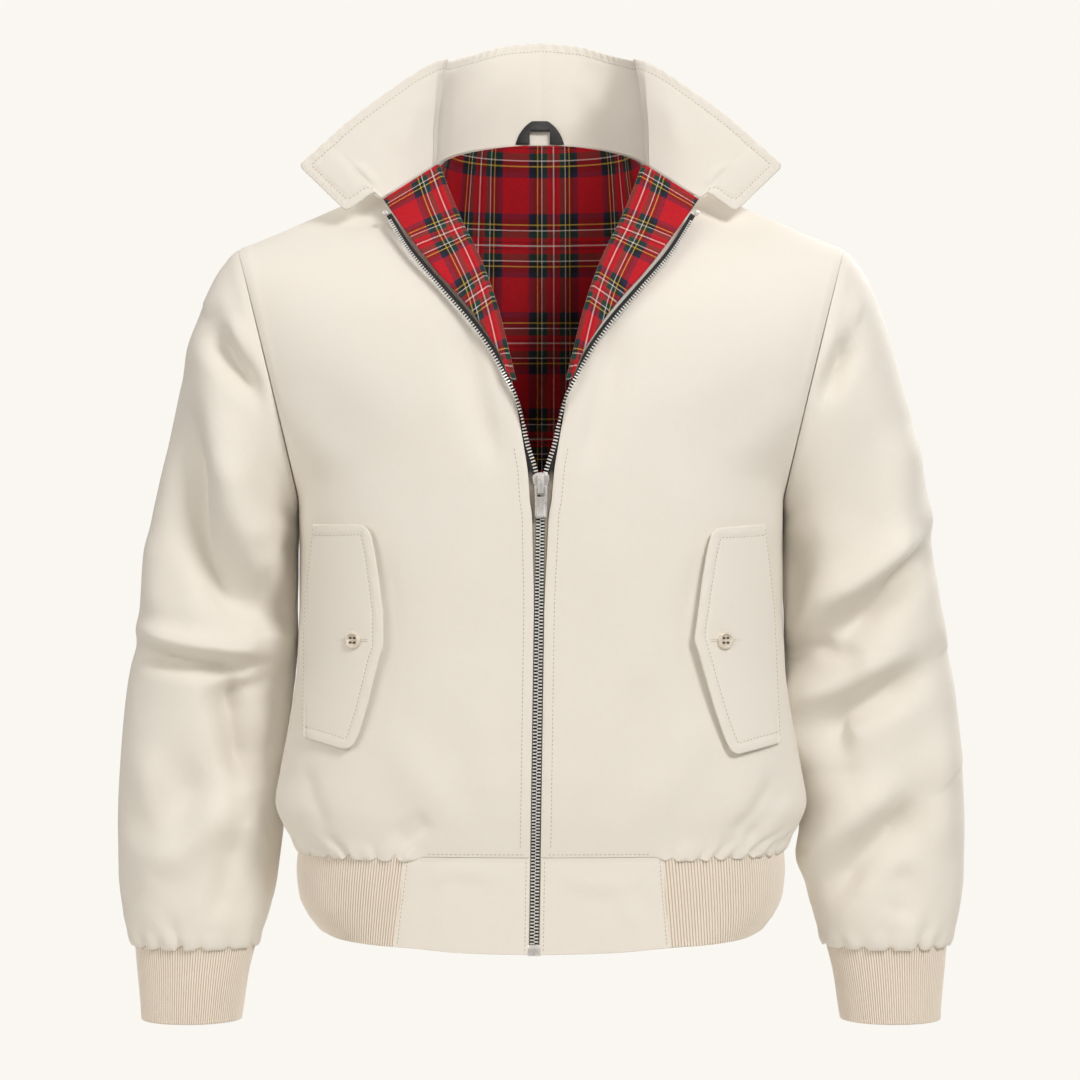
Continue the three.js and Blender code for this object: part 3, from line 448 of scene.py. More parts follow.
    def neckline(self, turn: Array) -> Array:
        """Returns the back neckline from its middle (0) to the shoulder's neck end (1)."""
        angle = np.radians(np.asarray(turn, float) * 90)
        return points_of(self.neck_x * np.sin(angle), self.neck_back * np.cos(angle),
                         self.neck_rise * np.cos(angle))

    def _yoke(self, u: Array, v: Array) -> Array:
        """Returns the top of the back, rounding over to the neck and shoulders."""
        start = self._back_curve(u, np.full(np.shape(u), self.yoke_start))
        a = (u - self.neck_share) / (1 - self.neck_share)
        shoulder = points_of(mix(self.neck_x, self.shoulder_x, a), self.side_y * ease(0, 1, a),
                             mix(0, self.shoulder_z, a))
        end = np.where((u < self.neck_share)[..., None], self.neckline(np.minimum(u / self.neck_share, 1)),
                       shoulder)
        end = end + np.array([0, self.seam_gap / 2, 0])
        pull = mix(np.array([0, 14, -45.0]), np.array([0, 42, -4.0]),
                   ease(0, self.neck_share, u)[..., None])
        t = np.clip((v - self.yoke_start) / (1 - self.yoke_start), 0, 1)
        return bezier(start, start + np.array([0, 4, 68]), end + pull, end, t)

    def back(self, signed_u: Array, v: Array) -> Array:
        """Returns the back: u from -1 at the right side to 1 at the left, v from the waist to the neck."""
        signed_u, v = np.broadcast_arrays(np.asarray(signed_u, float), np.clip(v, 0, 1))
        u = np.abs(signed_u)
        yoke = self._yoke(u, v) + (self.outer_edge(v, 1) - self._yoke(np.ones_like(u), v)) * u[...,
                                                                                               None] ** 3
        point = np.where((v <= self.yoke_start)[..., None], self._back_curve(u, v), yoke)
        return point * np.stack([np.sign(signed_u), np.ones_like(u), np.ones_like(u)], -1)

    def front_at(self, x: Array, z: Array) -> tuple[Array, Array]:
        """Finds the left front's surface in front of a place.

        Args:
            x: Places across, in mm.
            z: Places up, in mm.

        Returns:
            The surface's points there and its outward normals.
        """
        x, z = np.broadcast_arrays(np.asarray(x, float), np.asarray(z, float))
        flat_x, flat_z = x.ravel(), z.ravel()
        grid_u, grid_v = (g.ravel() for g in np.meshgrid(np.linspace(0, 1, 33), np.linspace(0, 1, 61)))
        known = self.front(grid_u, grid_v)
        gap = (known[None, :, 0] - flat_x[:, None]) ** 2 + (known[None, :, 2] - flat_z[:, None]) ** 2
        nearest = gap.argmin(1)
        u, v, step = grid_u[nearest].copy(), grid_v[nearest].copy(), 1e-4
        for _ in range(12):
            here = self.front(u, v)
            across = (self.front(u + step, v) - self.front(u - step, v)) / (2 * step)
            low, high = np.maximum(v - step, 0), np.minimum(v + step, 1)
            up = (self.front(u, high) - self.front(u, low)) / (high - low)[:, None]
            miss_x, miss_z = flat_x - here[:, 0], flat_z - here[:, 2]
            det = across[:, 0] * up[:, 2] - across[:, 2] * up[:, 0]
            det = np.where(np.abs(det) < 1e-6, 1e-6, det)
            u = np.clip(u + np.clip((miss_x * up[:, 2] - miss_z * up[:, 0]) / det, -0.1, 0.1), 0, 1)
            v = np.clip(v + np.clip((across[:, 0] * miss_z - across[:, 2] * miss_x) / det, -0.1, 0.1), 0, 1)
        normal = unit(np.cross(across, up))
        normal *= -np.sign(normal[:, 1:2])
        return self.front(u, v).reshape(*x.shape, 3), normal.reshape(*x.shape, 3)

    def sleeve(self, turn: Array, at: Array) -> Array:
        """Returns the left sleeve: turn goes round it, its front at a quarter turn, and at goes down it."""
        turn, at = np.broadcast_arrays(np.asarray(turn, float), np.asarray(at, float))
        out_x, out_z, in_x, in_z, mid_y, half = self.sleeve_ring.read(at)
        cosine, sine = np.cos(turn), np.sin(turn)
        scoop = np.where(sine > 0, self.scoop_front, self.scoop_back)
        fade = (1 - ease(0, 0.3, at)) * scoop * np.abs(sine)
        point = points_of(mix(in_x, out_x, (1 + cosine) / 2) - fade, mid_y - half * sine,
                          mix(in_z, out_z, (1 + cosine) / 2))
        out_of_armhole = unit(np.array([self.shoulder_z - self.underarm_z, 0,
                                        self.underarm_x - self.shoulder_x]))
        return point + out_of_armhole * (1.5 * self.seam_gap * (1 - at))[..., None]

    def cuff(self, turn: Array, at: Array) -> Array:
        """Returns the left cuff, from its seam (0) to its end (1)."""
        z, mid_x, half_x, half_y = self.cuff_ring.read(at)
        return points_of(mid_x + half_x * np.cos(turn), 10 - half_y * np.sin(turn), z)

    def band(self, round_: Array, down: Array) -> tuple[Array, Array]:
        """Returns the waistband and its outward direction: round is 0 in front, 1 at the side, 2 behind."""
        round_, down = np.broadcast_arrays(np.asarray(round_, float), np.asarray(down, float))
        on_front = round_ <= 1
        along = np.where(on_front, round_, 2 - round_)

        def base(u: Array) -> Array:
            """Returns the body's hem, in front or behind."""
            u = np.clip(u, 0, 1)
            zero = np.zeros_like(u)
            return np.where(on_front[..., None], self.front(u, zero), self._back_curve(u, zero))

        here, step = base(along), 1e-3
        run = unit(base(along + step) - base(along - step))
        outward = points_of(-run[..., 1], run[..., 0], 0) * np.where(on_front, -1, 1)[..., None]
        outward = unit(outward)
        share = np.where(on_front, ease(0.3, 0.75, round_), 0.85)
        (push,) = self.band_profile.read(down)
        here = here + outward * (push * share)[..., None]
        (rise,) = self.hem_rise.read(np.where(on_front, here[..., 0], 210))
        here[..., 2] = mix(self.waist_z - self.seam_gap, self.hem_z + rise, down)
        return here, outward

    def lapel_point(self, across: Array, at: Array) -> Array:
        """Returns the turned-out front: across from roll line to free edge, at from its foot to its top."""
        across, at = np.broadcast_arrays(np.asarray(across, float), np.asarray(at, float))
        fold_x, fold_z, edge_x, edge_z, lift = self.lapel_row.read(at)
        x, z = mix(fold_x, edge_x, across), mix(fold_z, edge_z, across)
        behind, _ = self.front_at(x, z)
        return points_of(x, behind[..., 1] - self.lapel - mix(1.2, lift, ease(-0.6, 1, across)), z)

    def collar(self, at: Array, up: Array) -> Array:
        """Returns the left half of the collar's shown face, from the middle of the back to the wing's end."""
        at, up = np.broadcast_arrays(np.asarray(at, float), np.asarray(up, float))
        low_x, low_y, low_z, top_x, top_y, top_z = self.collar_column.read(at)
        along = np.clip((at - 0.5) / 0.36, 0, 1)
        seam = self.lapel_point(mix(0.07, 1, along), np.ones_like(at)) + np.array([0, 0, 1.2])
        on_lapel = (at >= 0.5) & (at <= 0.86)
        low = np.where(on_lapel[..., None], seam, points_of(low_x, low_y, low_z))
        point = mix(low, points_of(top_x, top_y, top_z), up[..., None])
        point[..., 1] -= 2 * np.sin(np.pi * up) * (1 - ease(0.3, 0.5, at))
        return point

    def flap_point(self, x: Array, z: Array) -> Array:
        """Returns the outer face of a pocket flap in front of the panel."""
        behind, normal = self.front_at(x, z)
        lift = self.flap + mix(2, 4.2, ease(0, 1, (192 - np.asarray(x, float)) / 66))
        return behind + normal * lift[..., None]

    def zip_frame(self, at: Array) -> tuple[Array, Array, Array, Array, Array]:
        """Returns one half of the chain: middle, ways along it, to its tape and through it, and width."""
        at = np.asarray(at, float)
        x, y, z, turn, tape = self.zip_row.read(at)
        step = 1e-3
        after, before = self.zip_row.read(np.minimum(at + step, 1)), self.zip_row.read(np.maximum(at - step,
                                                                                                  0))
        along = unit(points_of(after[0] - before[0], 0, after[2] - before[2]))
        surface, _ = self.front_at(x, z)
        (lift,) = self.zip_lift.read(z)
        on_lapel = mix(y, surface[..., 1] - lift - 1.2, ease(150, 175, turn))
        y = np.where(turn > 150, on_lapel, y)
        angle = np.radians(turn)[..., None]
        away = points_of(along[..., 2], 0, -along[..., 0])
        to_tape = away * np.cos(angle) + np.array([0, 1, 0]) * np.sin(angle)
        return points_of(x, y, z), along, to_tape, unit(np.cross(along, to_tape)), tape


CUT = Cut()


# ---------------------------------------------------------------- meshes


def outward_normals(points: Array, closed: bool, toward: Array) -> Array:
    """Normals of a grid of points.

    Args:
        points: Rows of points.
        closed: True where each row is a ring.
        toward: A direction, or one for each point, that the normals lie along.

    Returns:
        One unit normal for each point.
    """
    if closed:
        wide = np.concatenate([points[:, -1:], points, points[:, :1]], 1)
        across = (wide[:, 2:] - wide[:, :-2]) / 2
    else:
        across = np.gradient(points, axis=1)
    normals = unit(np.cross(across, np.gradient(points, axis=0)))
    if not closed:
        for row, inner_row in ((0, 2), (1, 2), (-1, -3), (-2, -3)):
            for column, inner_column in ((0, 2), (1, 2), (-1, -3), (-2, -3)):
                normals[row, column] = normals[inner_row, inner_column]
    side = np.sign((normals * toward).sum(-1).mean())
    return normals * (side if side else 1)


def cloth_coordinates(points: Array, closed: bool) -> Array:
    """Returns, for each point of a grid, how far it is along its row and up its column, in mm."""
    ring = np.concatenate([points, points[:, :1]], 1) if closed else points
    across = np.linalg.norm(np.diff(ring, axis=1), axis=-1)
    up = np.linalg.norm(np.diff(ring, axis=0), axis=-1)
    s = np.concatenate([np.zeros((len(ring), 1)), np.cumsum(across, 1)], 1)
    t = np.concatenate([np.zeros((1, ring.shape[1])), np.cumsum(up, 0)], 0)
    return np.stack([s, t], -1)


def settled(points: Array, axis: int, passes: int, share: Array) -> Array:
    """Softens a grid's kinks.

    Args:
        points: Rows of points.
        axis: 0 to soften up the columns, 1 along the rows.
        passes: How often each point is drawn towards its two neighbours.
        share: How far each point takes the softened place, 0 to 1.

    Returns:
        The points, with their borders across the axis held.
    """
    soft = np.moveaxis(points.copy(), axis, 0)
    for _ in range(passes):
        soft[1:-1] = (soft[:-2] + 2 * soft[1:-1] + soft[2:]) / 4
    return mix(points, np.moveaxis(soft, 0, axis), share[..., None])


class Border(Enum):
    """A grid's four borders: whether it is swapped, then reversed, to bring the border first."""

    FIRST_COLUMN = (False, False)
    LAST_COLUMN = (False, True)
    FIRST_ROW = (True, False)
    LAST_ROW = (True, True)


def inside_line(points: Array, toward: Array, border: Border, inset: float,
                trim: tuple[float, float] = (0.0, 0.0)) -> tuple[Array, Array]:
    """Finds the line that runs beside one border of a grid.

    Args:
        points: Rows of points.
        toward: The way that its outer face looks.
        border: The border.
        inset: The line's distance from it, in mm.
        trim: How much is left off the line's two ends.

    Returns:
        Points along the line and the normals there.
    """
    swapped, reverse = border.value
    grids = []
    for grid in (points, outward_normals(points, False, toward)):
        grid = np.swapaxes(grid, 0, 1) if swapped else grid
        grids.append(grid[:, ::-1] if reverse else grid)
    steps = np.linalg.norm(np.diff(grids[0], axis=1), axis=-1)
    gone = np.concatenate([np.zeros((len(steps), 1)), np.cumsum(steps, 1)], 1)
    line, up = (np.array([[np.interp(inset, places, row[:, k]) for k in range(3)] for places,
                          row in zip(gone, grid)])
                for grid in grids)
    along = np.concatenate([[0], np.cumsum(np.linalg.norm(np.diff(line, axis=0), axis=1))])
    kept = (along >= trim[0]) & (along <= along[-1] - trim[1])
    return line[kept], unit(up[kept])


def rib_chart(points: Array, pitch: float, closed: bool) -> Array:
    """Returns cloth coordinates for a rib of six columns, in which each rib is one pitch wide."""
    columns = points.shape[1] + closed
    across = np.broadcast_to(np.arange(columns) * pitch / 6, (len(points), columns))
    up = np.broadcast_to(cloth_coordinates(points, closed)[:, :1, 1], across.shape)
    return np.stack([across, up], -1)


def rounded_edge(points: Array, radius: float, closed: bool = False) -> Array:
    """Returns how far each point near a grid's border sinks so that a wall's edge is round."""
    place = cloth_coordinates(points, closed)
    if closed:
        place = place[:, :-1]
    s, t = place[..., 0], place[..., 1]
    distance = np.minimum(t, t[-1:] - t)
    if not closed:
        distance = np.minimum(distance, np.minimum(s, s[:, -1:] - s))
    short = np.clip(1 - distance / radius, 0, 1)
    return radius * (1 - np.sqrt(1 - short**2))


def mesh_object(name: str, points: Array, faces: Sequence,
                material: Material) -> Piece:
    """Makes an object from points in mm.

    Args:
        name: The piece's name.
        points: The vertices.
        faces: Vertex numbers for each face.
        material: Its finish.

    Returns:
        The object, linked and smooth.
    """
    mesh = bpy.data.meshes.new(name)
    mesh.from_pydata((np.asarray(points) * MM).tolist(), [], [list(map(int, f)) for f in faces])
    mesh.materials.append(material)
    mesh.polygons.foreach_set("use_smooth", np.ones(len(mesh.polygons), bool))
    mesh.update()
    made = bpy.data.objects.new(name, mesh)
    bpy.context.scene.collection.objects.link(made)
    return made


def only(piece: Piece) -> None:
    """Selects one piece and makes it active."""
    for other in bpy.context.view_layer.objects:
        other.select_set(False)
    piece.select_set(True)
    bpy.context.view_layer.objects.active = piece


def only_none() -> None:
    """Deselects everything."""
    for other in bpy.context.view_layer.objects:
        other.select_set(False)


def select_faces(piece: Piece, wanted: Callable[..., bool]) -> None:
    """Selects, in edit mode, the faces whose centre and normal are wanted."""
    bpy.ops.mesh.select_mode(type="FACE")
    bpy.ops.mesh.select_all(action="DESELECT")
    bpy.ops.object.mode_set(mode="OBJECT")
    for polygon in piece.data.polygons:
        polygon.select = bool(wanted(polygon.center, polygon.normal))
    bpy.ops.object.mode_set(mode="EDIT")


def sharpen(piece: Piece, degrees: float = 50) -> None:
    """Smooths a piece except where its faces meet at more than an angle."""
    only(piece)
    bpy.ops.object.shade_smooth_by_angle(angle=math.radians(degrees))


def round_corner(points: Array, radius: float, last_row: bool, last_column: bool) -> Array:
    """Rounds one corner of a grid of points within its own surface.

    Args:
        points: Rows of points.
        radius: The corner's radius in mm.
        last_row: True for a corner on the last row.
        last_column: True for a corner on the last column.

    Returns:
        The points, with those near the corner drawn in.
    """
    place = cloth_coordinates(points, False)
    a = place[:, -1:, 0] - place[..., 0] if last_column else place[..., 0]
    b = place[-1:, :, 1] - place[..., 1] if last_row else place[..., 1]
    p, q = np.clip(1 - a / radius, 0, 1), np.clip(1 - b / radius, 0, 1)
    inside = np.maximum(p, q) / np.maximum(np.hypot(p, q), 1e-9)
    inside = np.where((p > 0) & (q > 0), inside, 1)
    across, up = unit(np.gradient(points, axis=1)), unit(np.gradient(points, axis=0))
    shift_a, shift_b = radius * p * (1 - inside), radius * q * (1 - inside)
    return (points + across * (shift_a * (-1 if last_column else 1))[..., None]
            + up * (shift_b * (-1 if last_row else 1))[..., None])


def cloth_wall(name: str, outer: Array, thickness: float, toward: Array, material: Material,
               closed: bool = False, edge: float = 0.0, uv: Array | None = None) -> Piece:
    """Builds a closed wall of cloth behind a grid of points.

    Args:
        name: The piece's name.
        outer: Rows of points of its outer face, in mm.
        thickness: How thick it is.
        toward: The way that its outer face looks.
        material: Its finish.
        closed: True where each row is a ring.
        edge: Radius of its rounded border, or 0 for a plain one.
        uv: Cloth coordinates in mm, if the grid's own aren't wanted.

    Returns:
        The piece, with the cloth's coordinates in metres as its UV map.
    """
    normals = outward_normals(outer, closed, toward)
    sink = rounded_edge(outer, edge, closed)[..., None] if edge else 0.0
    face = outer - normals * sink
    back = outer - normals * (thickness - sink)
    rows, columns = outer.shape[:2]
    count = rows * columns
    number = np.arange(count).reshape(rows, columns)
    wide = np.concatenate([number, number[:, :1]], 1) if closed else number
    quads = np.stack([wide[:-1, :-1], wide[:-1, 1:], wide[1:, 1:], wide[1:, :-1]], -1).reshape(-1, 4)
    place = cloth_coordinates(outer, closed) if uv is None else uv
    flat_place = place.reshape(-1, 2)
    spot = np.arange(rows * place.shape[1]).reshape(rows, place.shape[1])
    corners = np.stack([spot[:-1, :-1], spot[:-1, 1:], spot[1:, 1:], spot[1:, :-1]], -1).reshape(-1, 4)
    p = outer.reshape(-1, 3)
    middle = len(quads) // 2
    a, b, _, d = quads[middle]
    facing = np.dot(np.cross(p[b] - p[a], p[d] - p[a]), normals.reshape(-1, 3)[a]) > 0
    order = [0, 1, 2, 3] if facing else [3, 2, 1, 0]
    front, front_uv = quads[:, order], corners[:, order]
    rear, rear_uv = quads[:, order[::-1]] + count, corners[:, order[::-1]]
    rims, rim_uv = [], []

    def rim(line: Array, places: Array, turned: bool) -> None:
        """Closes the wall along one edge."""
        quad = np.stack([line[:-1], line[1:], line[1:] + count, line[:-1] + count], -1)
        spots = np.stack([places[:-1], places[1:], places[1:], places[:-1]], -1)
        way = [3, 2, 1, 0] if turned == facing else [0, 1, 2, 3]
        rims.append(quad[:, way])
        rim_uv.append(spots[:, way])

    rim(wide[0], spot[0], True)
    rim(wide[-1], spot[-1], False)
    if not closed:
        rim(number[:, 0], spot[:, 0], False)
        rim(number[:, -1], spot[:, -1], True)
    faces = np.concatenate([front, rear, *rims])
    where = np.concatenate([front_uv, rear_uv, *rim_uv])
    made = mesh_object(name, np.concatenate([face.reshape(-1, 3), back.reshape(-1, 3)]), faces, material)
    layer = made.data.uv_layers.new(name="cloth")
    layer.data.foreach_set("uv", (flat_place[where.ravel()] * MM).ravel())
    sharpen(made)
    return made


def declare(piece: Piece, nodes: Sequence[str]) -> Piece:
    """Attaches a cloth piece to the root and hides the solids that it stands for.

    Args:
        piece: The piece.
        nodes: The solids that it stands for.

    Returns:
        The piece.
    """
    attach(piece, "root")
    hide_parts(*nodes)
    return piece


class Thread:
    """A run of small stitches, each a slim lozenge with its ends sunk into the cloth."""

    def __init__(self, length: float = 2.2, gap: float = 1.2, radius: float = 0.3) -> None:
        """Stores one stitch's length, the gap to the next and the thread's radius."""
        self.length, self.pitch, self.radius = length, length + gap, radius
        self.points: list[Array] = []
        self.faces: list[Array] = []
        self.count = 0
        stations = ((-0.5, 0.35, -0.5), (-0.3, 0.95, 0.35), (0.3, 0.95, 0.35), (0.5, 0.35, -0.5))
        ring = [(1, 0), (0, 1), (-1, 0), (0, -1)]
        self.shape = np.array([
            (share * length, radius * size * a, radius * (size * b + lift))
            for share, size, lift in stations for a, b in ring])
        quads = [(4 * i + j, 4 * i + (j + 1) % 4, 4 * i + 4 + (j + 1) % 4, 4 * i + 4 + j)
                 for i in range(3) for j in range(4)]
        self.quads = np.array([*quads, (3, 2, 1, 0), (12, 13, 14, 15)])

    def run(self, line: Array, normals: Array) -> None:
        """Sews along a line of points in mm, on cloth with these normals."""
        wanted, along = even_places(line, self.pitch)
        centre = read_along(wanted, along, line)
        up = unit(read_along(wanted, along, normals))
        ahead = read_along(np.minimum(wanted + 0.5, along[-1]), along, line)
        back = read_along(np.maximum(wanted - 0.5, 0), along, line)
        way = unit(ahead - back)
        side = unit(np.cross(up, way))
        up = np.cross(way, side)
        local = self.shape
        placed = (centre[:, None] + local[None, :, :1] * way[:, None] + local[None, :, 1:2] * side[:, None]
                  + local[None, :, 2:] * up[:, None])
        self.points.append(placed.reshape(-1, 3))
        base = self.count + np.arange(len(centre))[:, None, None] * len(local)
        self.faces.append((self.quads[None] + base).reshape(-1, 4))
        self.count += len(centre) * len(local)

    def finish(self, name: str, material: Material, slot: str) -> Piece:
        """Returns all the runs as one piece that rides on the root."""
        made = mesh_object(name, np.concatenate(self.points), np.concatenate(self.faces), material)
        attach(made, "root")
        log.info("%s: %d stitches", name, self.count // len(self.shape))
        return made


# ---------------------------------------------------------------- finishes


class Nodes:
    """A material's node tree, with short ways to add to it."""

    def __init__(self, name: str) -> None:
        """Starts a material with one Principled surface."""
        self.material = bpy.data.materials.new(name)
        self.material.use_nodes = True
        self.tree = self.material.node_tree
        self.surface = next(n for n in self.tree.nodes if n.type == "BSDF_PRINCIPLED")

    def add(self, kind: str, inputs: dict | None = None, **settings: object) -> bpy.types.Node:
        """Adds a node.

        Args:
            kind: Its type, without the ShaderNode prefix.
            inputs: Values or sockets for its inputs, by name or number.
            **settings: The node's own settings.

        Returns:
            The node.
        """
        node = self.tree.nodes.new("ShaderNode" + kind)
        for key, value in settings.items():
            setattr(node, key, value)
        for key, value in (inputs or {}).items():
            self.put(value, node.inputs[key])
        return node

    def put(self, value: Value, socket: Socket) -> None:
        """Links a socket to an input, or sets the input's value."""
        if isinstance(value, Socket):
            self.tree.links.new(value, socket)
        else:
            socket.default_value = value

    def math(self, operation: str, *values: Value) -> Socket:
        """Returns the result of a maths operation."""
        return self.add("Math", dict(enumerate(values)), operation=operation).outputs[0]

    def blend(self, share: Value, a: Value, b: Value, kind: str = "MIX") -> Socket:
        """Returns colour b over colour a by a share."""
        node = self.add("Mix", {0: share, 6: a, 7: b}, data_type="RGBA", blend_type=kind)
        return node.outputs[2]

    def noise(self, where: Value, scale: float, detail: float = 2,
              rough: float = 0.5) -> Socket:
        """Returns a cloudy value about one half."""
        return self.add("TexNoise", {"Vector": where, "Scale": scale, "Detail": detail,
                                     "Roughness": rough}).outputs[0]

    def ramp(self, value: Value, stops: Sequence[tuple[float, tuple]],
             kind: str = "LINEAR") -> Socket:
        """Returns a value's colour on a ramp."""
        node = self.add("ValToRGB", {0: value})
        ramp = node.color_ramp
        ramp.interpolation = kind
        while len(ramp.elements) < len(stops):
            ramp.elements.new(1.0)
        for element, (place, colour) in zip(ramp.elements, stops):
            element.position, element.color = place, (*colour, 1)
        return node.outputs[0]

    def range(self, value: Value, low: float, high: float, to_low: float,
              to_high: float) -> Socket:
        """Returns a value carried from one range to another."""
        return self.add("MapRange", {0: value, 1: low, 2: high, 3: to_low, 4: to_high}).outputs[0]

    def dress(self, colour: Value, **values: Value) -> None:
        """Sets the surface's base colour and its other inputs, by name with _ for each space."""
        self.put(colour, self.surface.inputs["Base Color"])
        for name, value in values.items():
            self.put(value, self.surface.inputs[name.replace("_", " ").title().replace("Ior", "IOR")])

    def bumped(self, height: Value, distance: float, strength: float = 1.0) -> None:
        """Gives the surface relief, in metres."""
        bump_node = self.add("Bump", {"Height": height, "Distance": distance, "Strength": strength})
        self.tree.links.new(bump_node.outputs[0], self.surface.inputs["Normal"])

    def uv(self) -> tuple[Socket, Socket, Socket]:
        """Returns the cloth coordinates, and the two of them apart, in metres."""
        vector = self.add("TexCoord").outputs["UV"]
        parts = self.add("SeparateXYZ", {0: vector})
        return vector, parts.outputs[0], parts.outputs[1]

    def place(self) -> Socket:
        """Returns the place in the object, in metres."""
        return self.add("TexCoord").outputs["Object"]


def wave(nodes: Nodes, value: Socket, pitch: float) -> Socket:
    """Returns a ripple from -1 to 1 with a pitch in metres."""
    return nodes.math("SINE", nodes.math("MULTIPLY", value, 2 * math.pi / pitch))


@dataclass(frozen=True)
class ShellCloth:
    """Tightly woven cream cotton blend, dull with a faint sheen."""

    colour: Colour = (0.875, 0.835, 0.765)
    shade: Colour = (0.84, 0.79, 0.71)
    roughness: float = 0.78
    sheen: float = 0.25
    pitch: float = 0.0007

    def build(self) -> Material:
        """Returns the finish."""
        n = Nodes("shell_cloth")
        _, u, v = n.uv()
        where = n.place()
        cloud = n.noise(where, 9, 3, 0.55)
        fine = n.noise(where, 260, 2, 0.6)
        tone = n.math("ADD", n.math("MULTIPLY", cloud, 0.6), n.math("MULTIPLY", fine, 0.4))
        colour = n.blend(n.range(tone, 0.3, 0.7, 0.0, 0.55), (*self.colour, 1), (*self.shade, 1))
        weave = n.math("MULTIPLY", wave(n, u, self.pitch), wave(n, v, self.pitch))
        ribbed = wave(n, n.math("ADD", u, v), 2 * self.pitch)
        slub = n.noise(where, 90, 3, 0.6)
        height = n.math("ADD", n.math("ADD", n.math("MULTIPLY", weave, 0.3),
                                      n.math("MULTIPLY", ribbed, 0.25)),
                        n.math("MULTIPLY", slub, 1.6))
        n.dress(colour, roughness=n.range(slub, 0.3, 0.7, self.roughness - 0.06, self.roughness + 0.08),
                sheen_weight=self.sheen, sheen_roughness=0.45, specular_ior_level=0.3)
        n.bumped(height, 0.00012, 0.55)
        return n.material


@dataclass(frozen=True)
class RibKnit:
    """Fine vertical rib knit in a slightly deeper beige than the shell, darkened in the grooves between its
    ribs as painted shade.
    """

    pitch: float
    colour: Colour = (0.93, 0.86, 0.76)
    # painted shade: the colour of the grooves between the ribs
    groove_shade: Colour = (0.62, 0.51, 0.40)
    loop: float = 0.0013

    def build(self, name: str) -> Material:
        """Returns the finish, named for its pieces."""
        n = Nodes(name)
        _, u, v = n.uv()
        where = n.place()
        fuzz = n.noise(where, 600, 3, 0.65)
        cloud = n.noise(where, 14, 2)
        crest = n.math("ABSOLUTE", wave(n, u, 2 * self.pitch))
        loops = wave(n, n.math("ADD", v, n.math("MULTIPLY", crest, 0.0005)), self.loop)
        # Darkening towards the grooves between ribs is painted shade; cloud and fuzz add random tone and
        # loops add the knit's loops.
        depth = n.math("POWER", n.math("SUBTRACT", 1.0, crest), 1.4)
        tone = n.math("ADD", n.math("MULTIPLY", depth, 0.85), n.math("ADD", n.math("MULTIPLY", cloud, 0.2),
                      n.math("ADD", n.math("MULTIPLY", fuzz, 0.16), n.math("MULTIPLY", loops, 0.05))))
        n.dress(n.blend(n.range(tone, 0.16, 1.0, 0.0, 1.0), (*self.colour, 1), (*self.groove_shade, 1)),
                roughness=0.92, sheen_weight=0.3, specular_ior_level=0.2)
        n.bumped(n.math("ADD", n.math("MULTIPLY", loops, 0.5), fuzz), 0.00018, 0.5)
        return n.material


class Stripe(Enum):
    """The tartan's yarns."""

    WHITE = (0.88, 0.84, 0.79)
    RED = (0.56, 0.006, 0.016)
    BLACK = (0.010, 0.010, 0.014)
    GREEN = (0.012, 0.055, 0.040)
    YELLOW = (0.78, 0.56, 0.07)
    BLUE = (0.014, 0.020, 0.055)


@dataclass(frozen=True)
class Tartan:
    """A traditional red tartan, charted as half a sett between two pivots."""

    sett: tuple[tuple[Stripe, float], ...] = (
        (Stripe.WHITE, 1.4), (Stripe.RED, 3.6), (Stripe.BLACK, 2), (Stripe.RED, 8), (Stripe.GREEN, 12),
        (Stripe.BLACK, 1), (Stripe.WHITE, 2.4), (Stripe.BLACK, 8.1), (Stripe.YELLOW, 2.5),
        (Stripe.BLACK, 10), (Stripe.BLUE, 10), (Stripe.RED, 34))
    across: float = 0.0697
    down: float = 0.0856
    pivot_across: float = 0.0116
    pivot_down: float = 0.0
    fleck: Colour = (0.02, 0.004, 0.006)

    def yarns(self, n: Nodes, value: Socket, repeat: float,
              pivot: float) -> Socket:
        """Returns the colour of the yarns that lie one way."""
        half = repeat / 2
        place = n.math("DIVIDE", n.math("PINGPONG", n.math("SUBTRACT", value, pivot), half), half)
        total = sum(width for _, width in self.sett)
        stops, start = [], 0.0
        for stripe, width in self.sett:
            stops.append((start / total, stripe.value))
            start += width
        return n.ramp(place, stops, "CONSTANT")

    def build(self, name: str) -> Material:
        """Returns the finish, named for its pieces."""
        n = Nodes(name)
        _, u, v = n.uv()
        where = n.place()
        warp = self.yarns(n, u, self.across, self.pivot_across)
        weft = self.yarns(n, v, self.down, self.pivot_down)
        thread = self.across / 190
        step = n.math("FRACT", n.math("DIVIDE", n.math("ADD", u, v), 4 * thread))
        twill = n.math("GREATER_THAN", step, 0.5)
        fuzz = n.noise(where, 500, 2)
        cloth = n.blend(twill, warp, weft)
        n.dress(n.blend(n.range(fuzz, 0.3, 0.7, 0.0, 0.22), cloth, (*self.fleck, 1)),
                roughness=0.72, sheen_weight=0.03, specular_ior_level=0.2)
        n.bumped(n.math("ADD", n.math("MULTIPLY", wave(n, n.math("ADD", u, v), 4 * thread), 0.4), fuzz),
                 0.0001, 0.5)
        return n.material


